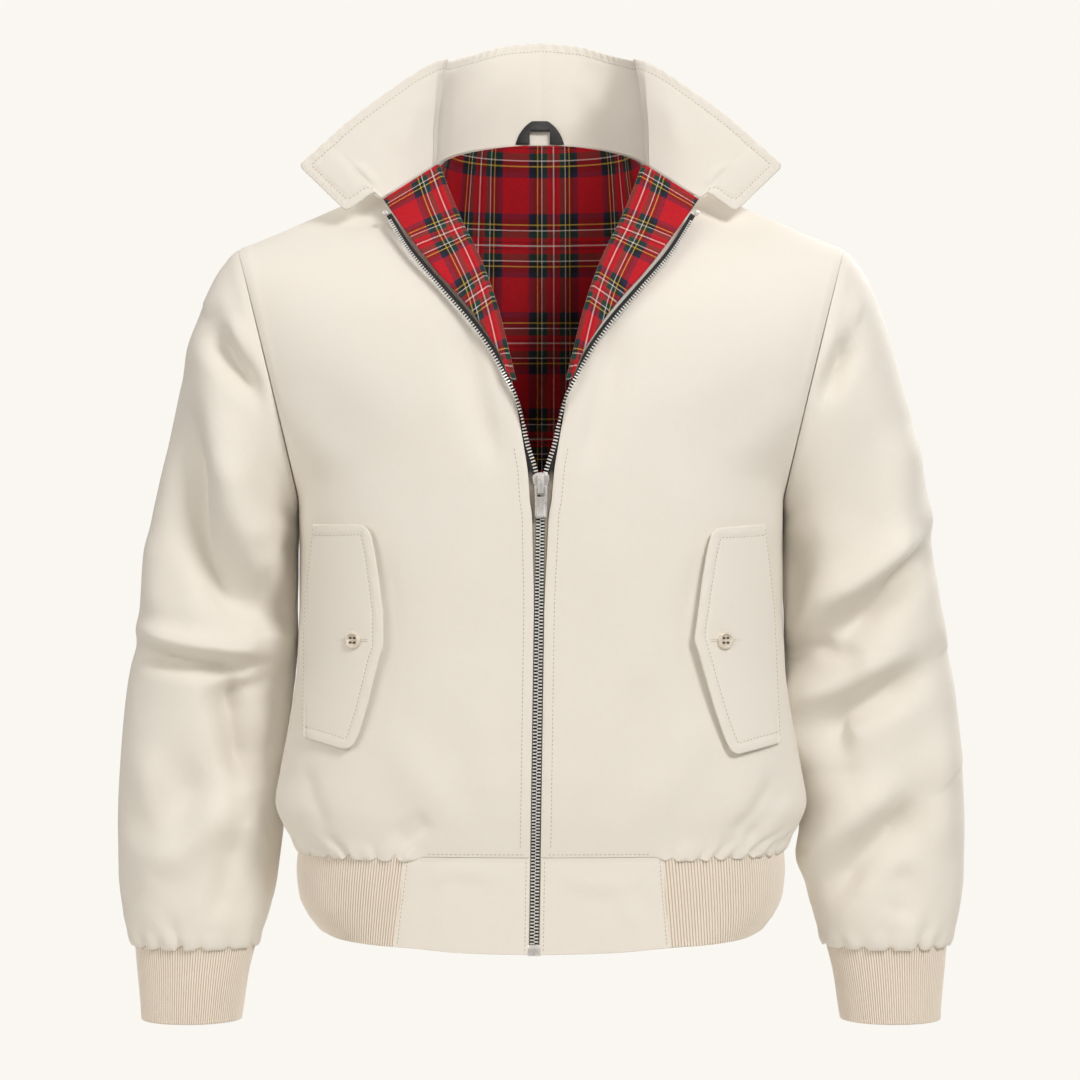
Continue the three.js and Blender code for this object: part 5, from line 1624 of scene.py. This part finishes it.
@dataclass
class Waistband:
    """The plain tabs beside the zip and the rib from tab to tab."""

    finishes: Finishes
    rib_pitch: float = 2.3
    rib_depth: float = 1.0
    rib_wall: float = 1.7
    tab_wall: float = 1.6
    thread: Thread = field(default_factory=Thread)
    tab_end: dict[Hand, tuple[float, float]] = field(default_factory=lambda: {
        Hand.LEFT: (0.262, 0.283), Hand.RIGHT: (0.292, 0.325)})
    tab_creases: dict[Hand, tuple[Crease, ...]] = field(default_factory=lambda: {
        Hand.LEFT: (Crease(((20, -588), (52, -596), (88, -590)), 0.8, 7, 0.5),
                    Crease(((88, -640), (72, -612), (60, -596)), 0.7, 8, 0.5)),
        Hand.RIGHT: (Crease(((24, -592), (60, -584), (96, -594)), 0.8, 7, 0.5),
                     Crease(((92, -636), (76, -610), (70, -590)), 0.8, 7, 0.5))})

    def build(self) -> None:
        """Builds the tabs and the rib."""
        for hand in Hand:
            self.tab(hand)
        self.thread.finish("band_stitching", self.finishes.thread, "shell_cloth")
        self.rib()

    def tab(self, hand: Hand) -> None:
        """Builds one plain tab."""
        seam, hem = self.tab_end[hand]
        down, share = fine_ends(30, (0, 0.006, 0.016)), fine_ends(46, (0, 0.005, 0.014))
        end = mix(seam, hem, down)
        grid, outward = CUT.band(share[None, :] * end[:, None], down[:, None])
        lift = folded(grid[..., 0], grid[..., 2], self.tab_creases[hand])
        place = cloth_coordinates(grid, False)
        lift -= 0.5 * bump(place[..., 1] - 2.6, 1.2) + 0.4 * bump(place[:, -1:, 0] - place[..., 0] - 3.2,
                                                                  1.0)
        points = CUT.swing(CUT.over_tape(grid + outward * lift[..., None]) * np.array([hand.value, 1, 1]))
        name = f"waistband_tab_{hand.word}"
        toward = np.array([0, -1, 0])
        for border in (Border.FIRST_COLUMN, Border.LAST_COLUMN):
            self.thread.run(*inside_line(points, toward, border, 3.2, (2, 2)))
        piece = cloth_wall(name + "_cloth", points, self.tab_wall, np.array([0, -1, 0]),
                           self.finishes.shell, edge=0.7)
        declare(piece, [name])

    def rib(self) -> None:
        """Builds the rib, right tab to left tab round the back."""
        dense = np.linspace(0, 1, 500)

        def half(hand: Hand, down: Array) -> Array:
            """Returns where one side of the rib starts, just under its tab."""
            return mix(*self.tab_end[hand], down) - 0.012

        def seam_line(share: Array) -> Array:
            """Returns the rib's upper edge."""
            return CUT.band(mix(0.3, 2.0, share), np.zeros_like(share))[0]

        length = float(np.linalg.norm(np.diff(seam_line(dense), axis=0), axis=1).sum())
        ribs = int(length / self.rib_pitch)
        share = even_rows(seam_line, ribs * 6 + 1)
        down = fine_ends(10, (0, 0.008, 0.025))
        sides = []
        for hand in Hand:
            start = half(hand, down)[:, None]
            grid, outward = CUT.band(mix(start, 2.0, share[None, :]), down[:, None])
            crest = np.abs(np.sin(np.pi * np.arange(ribs * 6 + 1) / 6)) ** 0.7
            lift = self.rib_depth * (crest[None, :] - 0.8) * ease(0, 0.02, down)[:, None] ** 0.5
            lift = lift - 0.5 * (1 - ease(0.002, 0.006, share))[None, :]
            wavy = 0.7 * np.sin(24 * share[None, :] + 3 * down[:, None]) * np.sin(np.pi * down)[:, None]
            points = (grid + outward * (lift + wavy)[..., None]) * np.array([hand.value, 1, 1])
            sides.append(points if hand is Hand.LEFT else points[:, ::-1])
        points = CUT.swing(np.concatenate([sides[0][:, :-1], sides[1]], 1))
        centre = np.array([0, 8, 0]) + points * np.array([0, 0, 1])
        piece = cloth_wall("waistband_rib_knit", points, self.rib_wall, points - centre, self.finishes.rib,
                           edge=0.8,
                           uv=rib_chart(points, self.rib_pitch, False))
        declare(piece, ["waistband_rib"])


# ---------------------------------------------------------------- collar, lapels, loop


@dataclass
class Collar:
    """The collar, the turned-out fronts and the hanger loop."""

    finishes: Finishes
    wall: float = 2.2
    lapel_wall: float = 2.2
    stitch_inset: float = 8.0
    loop_y: float = 82.0
    loop_foot: float = 30.5
    thread: Thread = field(default_factory=Thread)

    def build(self) -> None:
        """Builds the collar, both lapels and the loop."""
        self.collar()
        for hand in Hand:
            self.lapel_piece(hand)
        self.hanger_loop()

    def puckers(self, place: Array, reach: Array) -> Array:
        """Returns the seam's ripples: reach is the distance from the collar's outer edges."""
        ripple = np.sin(place / 1.5 + 1.7 * np.sin(place / 17)) * (0.65 + 0.35 * np.sin(place / 41))
        return 0.75 * ripple * bump(reach - 4.2, 3.6) - 0.7 * bump(reach - self.stitch_inset, 1.5)

    def collar(self) -> None:
        """Builds the whole collar."""
        up = fine_ends(34, (0, 0.008, 0.022, 0.045))
        at = even_rows(lambda t: CUT.collar(t, np.full_like(t, 0.9)), 190)
        ends = 1 - np.array([0.012, 0.006, 0.002, 0])
        at = np.concatenate([at[at < ends[0] - 0.002], ends])
        grid = CUT.collar(at[None, :], up[:, None])
        normals = outward_normals(grid, False, np.array([0, -1, 0.3]))
        place = cloth_coordinates(grid, False)
        top_gap = place[-1:, :, 1] - place[..., 1]
        end_gap = place[:, -1:, 0] - place[..., 0]
        low_gap = place[..., 1] + 60 * ease(0.9, 0.84, at)[None, :]
        reach = np.minimum(np.minimum(top_gap, end_gap), low_gap)
        lift = self.puckers(place[..., 0] + 0.6 * place[..., 1], reach)
        wing = ease(0.46, 0.56, at)[None, :]
        lift += 1.6 * wing * np.sin(np.pi * up)[:, None] * np.sin(np.pi * np.clip((at - 0.5) / 0.5, 0,
                                                                                  1))[None, :]
        crease = folded(grid[..., 0], grid[..., 2], (
            Crease(((80, 90), (83, 50), (88, 4)), -2.4, 4.5, -0.4),
            Crease(((100, 60), (112, 30), (118, 0)), 1.4, 10, 0.5),
            Crease(((136, -24), (146, -12), (158, -2)), 1.3, 4, 0.6),
            Crease(((30, 96), (44, 70), (52, 48)), 1.0, 10, 0.4)))
        points = grid + normals * (lift + crease * ease(0, 16, top_gap))[..., None]
        for last_row in (False, True):
            points = round_corner(points, 4.5, last_row, True)
        toward = np.array([0, -1, 0.3])
        wing_end = int(np.searchsorted(at, 0.87))
        inset = self.stitch_inset
        for grid_part, border, trim in ((points, Border.LAST_ROW, (0, inset)),
                                        (points, Border.LAST_COLUMN, (inset, inset)),
                                        (points[:, wing_end:], Border.FIRST_ROW, (0, inset))):
            line, normal = inside_line(grid_part, toward, border, inset, trim)
            for hand in Hand:
                flip = np.array([hand.value, 1, 1])
                self.thread.run(line * flip, normal * flip)
        self.thread.finish("collar_stitching", self.finishes.thread, "shell_cloth")
        sewn = (1 - ease(0.78, 0.845, at))[:, None]
        hidden = points[0] + sewn * points_of(0, 1.0 + 1.6 * ease(0.44, 0.52, at),
                                              -5.5) - np.array([0, 0, 0.05])
        points = np.concatenate([hidden[None], points], 0)
        points = np.concatenate([(points * np.array([-1, 1, 1]))[:, :0:-1], points], 1)
        piece = cloth_wall("collar_cloth", points, self.wall, np.array([0, -1, 0.3]), self.finishes.shell,
                           edge=0.9)
        declare(piece, ["collar"])

    def lapel_piece(self, hand: Hand) -> None:
        """Builds one turned-out front, rolling from the lining to its free edge."""
        at = fine_ends(100, (0, 0.004, 0.012))
        across = np.concatenate([[0], fine_ends(30, (0.004, 0.012, 0.03))])
        grid = CUT.lapel_point(across[None, :], at[:, None])
        normals = outward_normals(grid, False, np.array([0, -1, 0]))
        grid = grid + normals * (0.5 * np.sin(at * 17)[:, None] * np.sin(np.pi * across)[None, :])[...,
                                                                                                   None]
        fold = grid[:, :1]
        roll = [fold + np.array(shift) for shift in ((-1.2, 7.4, 0.6), (-2.6, 5.0, 0.4), (-2.7, 2.4, 0.2),
                                                     (-1.4, 0.6, 0))]
        points = np.concatenate([*roll, grid], 1) * np.array([hand.value, 1, 1])
        place = cloth_coordinates(points, False)
        middle = len(across) // 2
        up = np.broadcast_to(place[:, middle:middle + 1, 1], place.shape[:2])
        chart = np.stack([place[..., 0], up], -1)
        name = f"lapel_{hand.word}"
        piece = cloth_wall(name + "_cloth", points, self.lapel_wall, np.array([-0.5 * hand.value, -1, 0]),
                           self.finishes.tartan_lapel, edge=0.9, uv=chart)
        declare(piece, [name])

    def hanger_loop(self) -> None:
        """Builds the loop of folded ribbon at the back of the neck."""
        leg = np.linspace(0, 1, 16)[:, None]
        outer = bezier(*(np.array(p, float) for p in ((-21.5, -1), (-19.5, 7), (-15, 15), (-7.5, 19.6))),
                       leg[:, 0])
        inner = mix(np.array([-8.7, -1.0]), np.array([-8.7, 10.4]), leg)
        top = np.linspace(-1, 1, 12)[1:-1, None]
        flip = np.array([-1, 1])
        outside = np.concatenate([outer, top * np.array([7.5, 0]) + np.array([0, 19.9]),
                                  outer[::-1] * flip])
        inside = np.concatenate([inner, top * np.array([8.7, 0]) + np.array([0, 10.5]), inner[::-1] * flip])
        share = np.linspace(0, 1, 9)
        flat = mix(inside[:, None], outside[:, None], share[None, :, None])
        bow = 0.5 * np.sin(np.pi * share)[None, :] + 0.22 * np.sin(np.arange(len(flat)) / 2.3)[:, None]
        points = points_of(flat[..., 0] - 1, self.loop_y - bow, flat[..., 1] + self.loop_foot)
        piece = cloth_wall("hanger_loop_ribbon", points, 0.9, np.array([0, -1, 0]), self.finishes.ribbon,
                           edge=0.4)
        declare(piece, ["hanger_loop"])


# ---------------------------------------------------------------- pockets


@dataclass
class Pockets:
    """The two slanted flaps, their buttons and buttonholes."""

    finishes: Finishes
    radius: float = 6.9
    thick: float = 3.0
    hole: float = 1.1
    hole_at: float = 1.85
    stitch_inset: float = 9.2
    thread: Thread = field(default_factory=Thread)
    button_at: dict[Hand, tuple[float, float]] = field(default_factory=lambda: {
        Hand.LEFT: (146, -399), Hand.RIGHT: (149, -399)})

    def build(self) -> None:
        """Builds both flaps with their buttons."""
        for hand in Hand:
            self.flap(hand)
            self.button(hand)
            self.buttonhole(hand)
        self.thread.finish("flap_stitching", self.finishes.thread, "shell_cloth")

    def flap_grid(self, hand: Hand, at: Array, share: Array) -> Array:
        """Returns points of a flap's outer face: share from its free edge to its hinge."""
        hinge_x, hinge_z, free_x, free_z = CUT.flap_rows[hand].read(at)
        return CUT.flap_point(mix(free_x, hinge_x, share), mix(free_z, hinge_z, share))

    def flap(self, hand: Hand) -> None:
        """Builds one flap."""
        at, share = fine_ends(84, (0, 0.003, 0.008, 0.016)), fine_ends(70, (0, 0.006, 0.016, 0.030))
        grid = self.flap_grid(hand, at[:, None], share[None, :])
        normals = outward_normals(grid, False, np.array([0, -1, 0]))
        place = cloth_coordinates(grid, False)
        reach = np.minimum(np.minimum(place[..., 1], place[-1:, :, 1] - place[..., 1]), place[..., 0])
        ripple = np.sin((place[..., 0] + place[..., 1]) / 4.1)
        lift = 0.16 * ripple * bump(reach - 4.5, 3.4) - 0.4 * bump(reach - 9.2,
                                                                   1.1) + 0.35 * bump(reach - 4.6, 3.0)
        hinge = place[:, -1:, 0] - place[..., 0]
        lift += 0.3 * bump(hinge - 2.0, 1.4) - 1.3 * bump(hinge - 4.4, 0.8)
        x, z = self.button_at[hand]
        lift -= 0.9 * bump(np.hypot(grid[..., 0] - x, grid[..., 2] - z), 8)
        points = grid + normals * lift[..., None]
        for last_row in (False, True):
            points = round_corner(points, 5, last_row, False)
        points = CUT.swing(points * np.array([hand.value, 1, 1]))
        name = f"pocket_flap_{hand.word}"
        toward, inset = np.array([0, -1, 0]), self.stitch_inset
        for border, distance, trim in ((Border.FIRST_ROW, inset, (inset, 2)),
                                       (Border.FIRST_COLUMN, inset, (inset, inset)),
                                       (Border.LAST_ROW, inset, (inset, 2)),
                                       (Border.LAST_COLUMN, 1.8, (3, 3))):
            self.thread.run(*inside_line(points, toward, border, distance, trim))
        piece = cloth_wall(name + "_cloth", points, CUT.flap, np.array([0, -1, 0]), self.finishes.shell,
                           edge=0.9)
        declare(piece, [name])

    def buttonhole(self, hand: Hand) -> None:
        """Sews the two lips of a buttonhole."""
        flip = np.array([hand.value, 1, 1])
        hole = Thread(1.3, 0.25, 0.24)
        x, z = self.button_at[hand]
        inner = np.linspace(x - 12, x + 13, 40)
        for shift in (-0.75, 0.75):
            line = CUT.flap_point(inner, np.full_like(inner, z + shift))
            normal = np.tile(np.array([0, -1, 0]), (40, 1))
            hole.run(CUT.swing((line + normal * -0.25) * flip), normal * flip)
        hole.finish(f"buttonhole_{hand.word}", self.finishes.thread, "shell_cloth")

    def seat(self, hand: Hand) -> tuple[Array, Array, Array]:
        """Returns a button's seat on its flap, its axis and the way across it."""
        x, z = self.button_at[hand]
        reach = self.radius / 2
        read = CUT.flap_point(np.array([x, x + reach, x - reach, x, x]),
                              np.array([z, z, z, z + reach, z - reach]))
        axis = unit(np.cross(read[1] - read[2], read[3] - read[4]))
        axis = axis * -np.sign(axis[1])
        flip = np.array([hand.value, 1, 1])
        seat = CUT.swing(((read[0] + axis * 0.5) * flip)[None])[0]
        return seat, axis * flip, unit((read[1] - read[2]) * flip)

    def button(self, hand: Hand) -> None:
        """Builds one four-hole button and its thread, whose near-black finish is painted shade in the holes.
        """
        only_none()
        bpy.ops.mesh.primitive_cylinder_add(vertices=48, radius=self.radius, depth=self.thick,
                                            location=(0, 0, self.thick / 2))
        disc = bpy.context.object
        disc.name = disc.data.name = f"button_{hand.word}_disc"
        bpy.ops.object.mode_set(mode="EDIT")
        select_faces(disc, lambda centre, normal: normal[2] > 0.9)
        bpy.ops.mesh.inset(thickness=1.0, depth=0.5)
        bpy.ops.mesh.inset(thickness=0.8, depth=-0.15)
        bpy.ops.mesh.inset(thickness=0.6, depth=-1.3)
        bpy.ops.object.mode_set(mode="OBJECT")
        cutters = []
        for a in (-1, 1):
            for b in (-1, 1):
                bpy.ops.mesh.primitive_cylinder_add(vertices=16, radius=self.hole, depth=4 * self.thick,
                                                    location=(a * self.hole_at, b * self.hole_at, 0))
                cutters.append(bpy.context.object)
        for cutter in cutters:
            cut = disc.modifiers.new("hole", "BOOLEAN")
            cut.operation, cut.object, cut.solver = "DIFFERENCE", cutter, "EXACT"
            only(disc)
            bpy.ops.object.modifier_apply(modifier=cut.name)
        for cutter in cutters:
            bpy.data.objects.remove(cutter)
        soften = disc.modifiers.new("soften", "BEVEL")
        soften.width, soften.segments, soften.limit_method = 0.32, 2, "ANGLE"
        soften.angle_limit = math.radians(40)
        only(disc)
        bpy.ops.object.modifier_apply(modifier=soften.name)
        seat, axis, across = self.seat(hand)
        up = np.cross(axis, across)
        local = np.array([v.co for v in disc.data.vertices])
        placed = seat + local[:, :1] * across + local[:, 1:2] * up + local[:, 2:] * axis
        disc.data.vertices.foreach_set("co", (placed * MM).ravel())
        disc.location = (0, 0, 0)
        disc.data.materials.clear()
        disc.data.materials.append(self.finishes.horn)
        if np.dot(np.cross(across, up), axis) < 0:
            disc.data.flip_normals()
        disc.data.update()
        sharpen(disc, 38)
        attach(disc, "root")
        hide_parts(f"button_{hand.word}")
        # the thread's near-black finish paints the shade inside the four holes
        thread = Thread(1.7, 0.2, 0.8)
        for a in (-1, 1):
            for b in (-1, 1):
                knot = seat + self.hole_at * (a * across + b * up) + 0.5 * axis
                thread.run(np.linspace(knot - across, knot + across, 5), np.tile(axis, (5, 1)))
        thread.finish(f"button_{hand.word}_thread", self.finishes.button_thread, "shell_cloth")
        log.info("button %s: %d faces", hand.word, len(disc.data.polygons))


# ---------------------------------------------------------------- zip


@dataclass
class Zip:
    """The open-ended zip: tapes, teeth, stops, box, slider and pull tab."""

    finishes: Finishes
    pitch: float = 2.7
    tooth_near: float = -2.0
    tooth_far: float = 1.7
    tooth_half: float = 0.64
    tooth_thick: float = 2.5
    tape_wall: float = 0.6

    def build(self) -> None:
        """Builds the whole zip."""
        for hand in Hand:
            self.tape(hand)
            self.teeth(hand)
            self.stop(hand)
        self.hardware()

    def line(self, hand: Hand, at: Array) -> tuple[Array, Array, Array, Array, Array]:
        """Returns one side's chain: middle, along, to the tape, through, and the tape's width."""
        flip = np.array([hand.value, 1, 1])
        centre, along, to_tape, through, width = CUT.zip_frame(at)
        return CUT.swing(centre * flip), along * flip, to_tape * flip, through * flip, width

    def tape(self, hand: Hand) -> None:
        """Builds one tape, with its corded edge under the teeth."""
        at = np.linspace(0, 1, 260)
        centre, _, to_tape, through, width = self.line(hand, at)
        share = np.array([0, 0.04, 0.1, 0.2, 0.4, 0.6, 0.8, 0.97, 1])
        start = mix(-1.6, -0.3, ease(0.5, 0.53, at))[:, None]
        reach = start + share[None, :] * (width[:, None] + 1.9 - start)
        cord = 0.3 * bump(reach - 2.1, 0.6)
        turned = ease(0.58, 0.7, at)[:, None]
        points = centre[:, None] + to_tape[:, None] * reach[..., None] + through[:, None] * (
            mix(0.35, -0.25, turned) + cord * mix(-1, 1, turned))[..., None]
        name = f"zip_tape_{hand.word}"
        toward = np.broadcast_to(through[:, None], points.shape)
        piece = cloth_wall(name + "_ribbon", points, self.tape_wall, toward, self.finishes.tape, edge=0.25)
        declare(piece, [name])

    def tooth(self) -> tuple[Array, list[list[int]]]:
        """Models one tooth and returns its vertices and faces.

        Returns:
            Vertices as (towards the tape, through, along) in mm, and faces.
        """
        only_none()
        length = self.tooth_far - self.tooth_near
        bpy.ops.mesh.primitive_cube_add(size=1, location=(0, 0, 0))
        tooth = bpy.context.object
        bpy.ops.object.mode_set(mode="EDIT")
        bpy.ops.mesh.select_all(action="SELECT")
        bpy.ops.transform.resize(value=(length, self.tooth_thick, 2 * self.tooth_half))
        bpy.ops.transform.translate(value=((self.tooth_far + self.tooth_near) / 2, 0, 0))
        select_faces(tooth, lambda centre, normal: normal[0] < -0.9)
        bpy.ops.transform.resize(value=(1, 0.72, 0.8))
        bpy.ops.mesh.select_all(action="SELECT")
        bpy.ops.mesh.bevel(offset=0.22, segments=1, affect="EDGES")
        bpy.ops.object.mode_set(mode="OBJECT")
        points = np.array([v.co for v in tooth.data.vertices])
        faces = [list(p.vertices) for p in tooth.data.polygons]
        bpy.data.objects.remove(tooth)
        return points, faces

    def teeth(self, hand: Hand) -> None:
        """Builds one side's teeth as one mesh."""
        shape, faces = self.tooth()
        dense = np.linspace(0.004, 0.992, 900)
        centre, along, to_tape, through, _ = self.line(hand, dense)
        gone = np.concatenate([[0], np.cumsum(np.linalg.norm(np.diff(centre, axis=0), axis=1))])
        first = 0.0 if hand is Hand.LEFT else self.pitch / 2
        wanted = np.arange(first, gone[-1], self.pitch)

        where, a, b, c = (read_along(wanted, gone, rows) for rows in (centre, to_tape, along, through))
        a, b, c = unit(a), unit(b), unit(c)
        placed = (where[:, None] + shape[None, :, :1] * a[:, None] + shape[None, :, 1:2] * c[:, None]
                  + shape[None, :, 2:] * b[:, None])
        turned = np.dot(np.cross(a[0], c[0]), b[0]) < 0
        made = []
        for i in range(len(wanted)):
            made += [[v + i * len(shape) for v in (face[::-1] if turned else face)] for face in faces]
        piece = mesh_object(f"zip_teeth_{hand.word}", placed.reshape(-1, 3), made, self.finishes.teeth)
        sharpen(piece, 30)
        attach(piece, "root")
        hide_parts(f"zip_chain_{hand.word}")
        log.info("%s: %d teeth", piece.name, len(wanted))

    def softened(self, node: str, name: str, body: str, radius: float,
                 material: Material) -> Piece:
        """Returns a copy of a metal node with its edges rounded.

        Args:
            node: The node.
            name: The new piece's name.
            body: The body that it rides on.
            radius: How far the edges are rounded, in mm.
            material: Its finish.

        Returns:
            The new piece.
        """
        piece = bpy.data.objects.new(name, frame["nodes"][node].data.copy())
        bpy.context.scene.collection.objects.link(piece)
        piece.data.name = name
        only(piece)
        bpy.ops.object.mode_set(mode="EDIT")
        bpy.ops.mesh.select_all(action="SELECT")
        bpy.ops.mesh.remove_doubles(threshold=1e-6)
        bpy.ops.mesh.dissolve_limited(angle_limit=math.radians(1))
        bpy.ops.object.mode_set(mode="OBJECT")
        soften = piece.modifiers.new("soften", "BEVEL")
        soften.width, soften.segments, soften.limit_method = radius * MM, 3, "ANGLE"
        soften.angle_limit = math.radians(35)
        bpy.ops.object.modifier_apply(modifier=soften.name)
        piece.data.materials.clear()
        piece.data.materials.append(material)
        sharpen(piece, 32)
        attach(piece, body)
        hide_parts(node)
        log.info("%s: %d faces", name, len(piece.data.polygons))
        return piece

    def stop(self, hand: Hand) -> None:
        """Builds one top stop."""
        word = hand.word
        self.softened(f"zip_top_stop_{word}", f"top_stop_{word}", "root", 0.4, self.finishes.metal)

    def hardware(self) -> None:
        """Builds the box, the slider and the pull tab."""
        self.softened("zip_slider", "slider_body", "root", 0.35, self.finishes.metal)
        self.softened("zip_pull_tab", "pull_tab_plate", "pull_tab", 0.25, self.finishes.metal)
        low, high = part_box("zip_box")
        only_none()
        bpy.ops.mesh.primitive_cube_add(size=1, location=((low.x + high.x) / 2, -0.1114, low.z + 0.0044))
        box = bpy.context.object
        box.name = box.data.name = "retainer_box"
        bpy.ops.object.mode_set(mode="EDIT")
        bpy.ops.mesh.select_all(action="SELECT")
        bpy.ops.transform.resize(value=(0.0102, 0.0046, 0.0088))
        bpy.ops.mesh.bevel(offset=0.0006, segments=2, affect="EDGES")
        select_faces(box, lambda centre, normal: normal[1] < -0.95 and abs(centre[0]) < 0.01)
        bpy.ops.mesh.inset(thickness=0.0012, depth=-0.0004)
        bpy.ops.object.mode_set(mode="OBJECT")
        bpy.ops.object.transform_apply(location=True, rotation=True, scale=True)
        box.data.materials.clear()
        box.data.materials.append(self.finishes.metal)
        sharpen(box, 32)
        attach(box, "root")
        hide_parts("zip_box")


# ---------------------------------------------------------------- studio


@dataclass
class Studio:
    """Camera, soft lights, pale surroundings and floor."""

    camera_at: tuple[float, float, float] = (-0.0008, -2.16, -0.318)
    lens: float = 85
    sensor: float = 36
    floor_z: float = -1.05
    floor_radius: float = 1.2
    floor_colours: tuple[Colour, Colour] = ((0.74, 0.72, 0.68), (0.76, 0.74, 0.70))
    floor_roughness: float = 0.9
    aim: tuple[float, float, float] = (0, 0, -0.3)
    lamps: tuple[tuple, ...] = (
        ("key_light", (1.4, -2.2, 1.45), 0.8, 50, (1.0, 0.985, 0.965)),
        ("fill_light", (-1.8, -2.0, 0.3), 1.6, 21, (1.0, 0.965, 0.92)),
        ("top_light", (-0.2, 0.2, 2.0), 1.6, 8, (1.0, 0.985, 0.96)),
        ("back_light", (1.6, 2.2, 1.0), 1.0, 62, (1.0, 0.985, 0.96)))
    backdrop: Colour = (0.958, 0.932, 0.884)
    air: Colour = (1.0, 0.945, 0.875)
    air_rise: tuple[float, ...] = (-0.5, 0.6, 0.15, 0.44)

    def camera(self) -> None:
        """Adds the camera, level and square to the front."""
        data = bpy.data.cameras.new("studio_camera")
        data.lens, data.sensor_width = self.lens, self.sensor
        camera = bpy.data.objects.new("studio_camera", data)
        camera.location, camera.rotation_euler = self.camera_at, (math.radians(90), 0, 0)
        bpy.context.scene.collection.objects.link(camera)
        bpy.context.scene.camera = camera

    def softbox(self, name: str, place: tuple, size: float, power: float, colour: Colour) -> None:
        """Adds a square light that faces the jacket."""
        data = bpy.data.lights.new(name, "AREA")
        data.shape, data.size, data.energy, data.color = "SQUARE", size, power, colour
        lamp = bpy.data.objects.new(name, data)
        lamp.location = place
        aim = np.array(self.aim) - np.array(place)
        lamp.rotation_euler = (math.atan2(math.hypot(aim[0], aim[1]), -aim[2]), 0,
                               math.atan2(aim[0], -aim[1]) + math.pi)
        bpy.context.scene.collection.objects.link(lamp)

    def lights(self) -> None:
        """Adds the lights and the pale surroundings."""
        for lamp in self.lamps:
            self.softbox(*lamp)
        world = bpy.data.worlds.new("studio_air")
        world.use_nodes = True
        tree = world.node_tree
        shown = tree.nodes["Background"]
        shown.inputs[0].default_value, shown.inputs[1].default_value = (*self.backdrop, 1), 1.0
        lit = tree.nodes.new("ShaderNodeBackground")
        lit.inputs[0].default_value = (*self.air, 1)
        way = tree.nodes.new("ShaderNodeSeparateXYZ")
        tree.links.new(tree.nodes.new("ShaderNodeTexCoord").outputs["Generated"], way.inputs[0])
        rise = tree.nodes.new("ShaderNodeMapRange")
        for number, value in enumerate(self.air_rise, 1):
            rise.inputs[number].default_value = value
        tree.links.new(way.outputs[2], rise.inputs[0])
        tree.links.new(rise.outputs[0], lit.inputs[1])
        path = tree.nodes.new("ShaderNodeLightPath")
        choose = tree.nodes.new("ShaderNodeMixShader")
        tree.links.new(path.outputs["Is Camera Ray"], choose.inputs[0])
        tree.links.new(lit.outputs[0], choose.inputs[1])
        tree.links.new(shown.outputs[0], choose.inputs[2])
        tree.links.new(choose.outputs[0], tree.nodes["World Output"].inputs[0])
        bpy.context.scene.world = world
        bpy.context.scene.view_settings.view_transform = "Standard"

    def floor(self) -> None:
        """Adds the pale floor."""
        n = Nodes("studio_floor")
        n.dress(n.blend(n.noise(n.place(), 3), *((*colour, 1) for colour in self.floor_colours)),
                roughness=self.floor_roughness)
        only_none()
        bpy.ops.mesh.primitive_circle_add(vertices=96, radius=self.floor_radius, fill_type="NGON",
                                          location=(0, 0, self.floor_z))
        ground = bpy.context.object
        ground.name = "studio_floor"
        ground.data.materials.append(n.material)


def main() -> None:
    """Builds the scene in order and reports each piece."""
    logging.basicConfig(level=logging.INFO, format="%(name)s %(message)s")
    studio = Studio()
    studio.camera()
    finishes = Finishes()
    for assembly in (Body(finishes), Sleeves(finishes), Waistband(finishes), Collar(finishes),
                     Pockets(finishes),
                     Zip(finishes)):
        assembly.build()
        log.info("%s done", type(assembly).__name__)
    studio.lights()
    studio.floor()


if __name__ == "__main__":
    main()
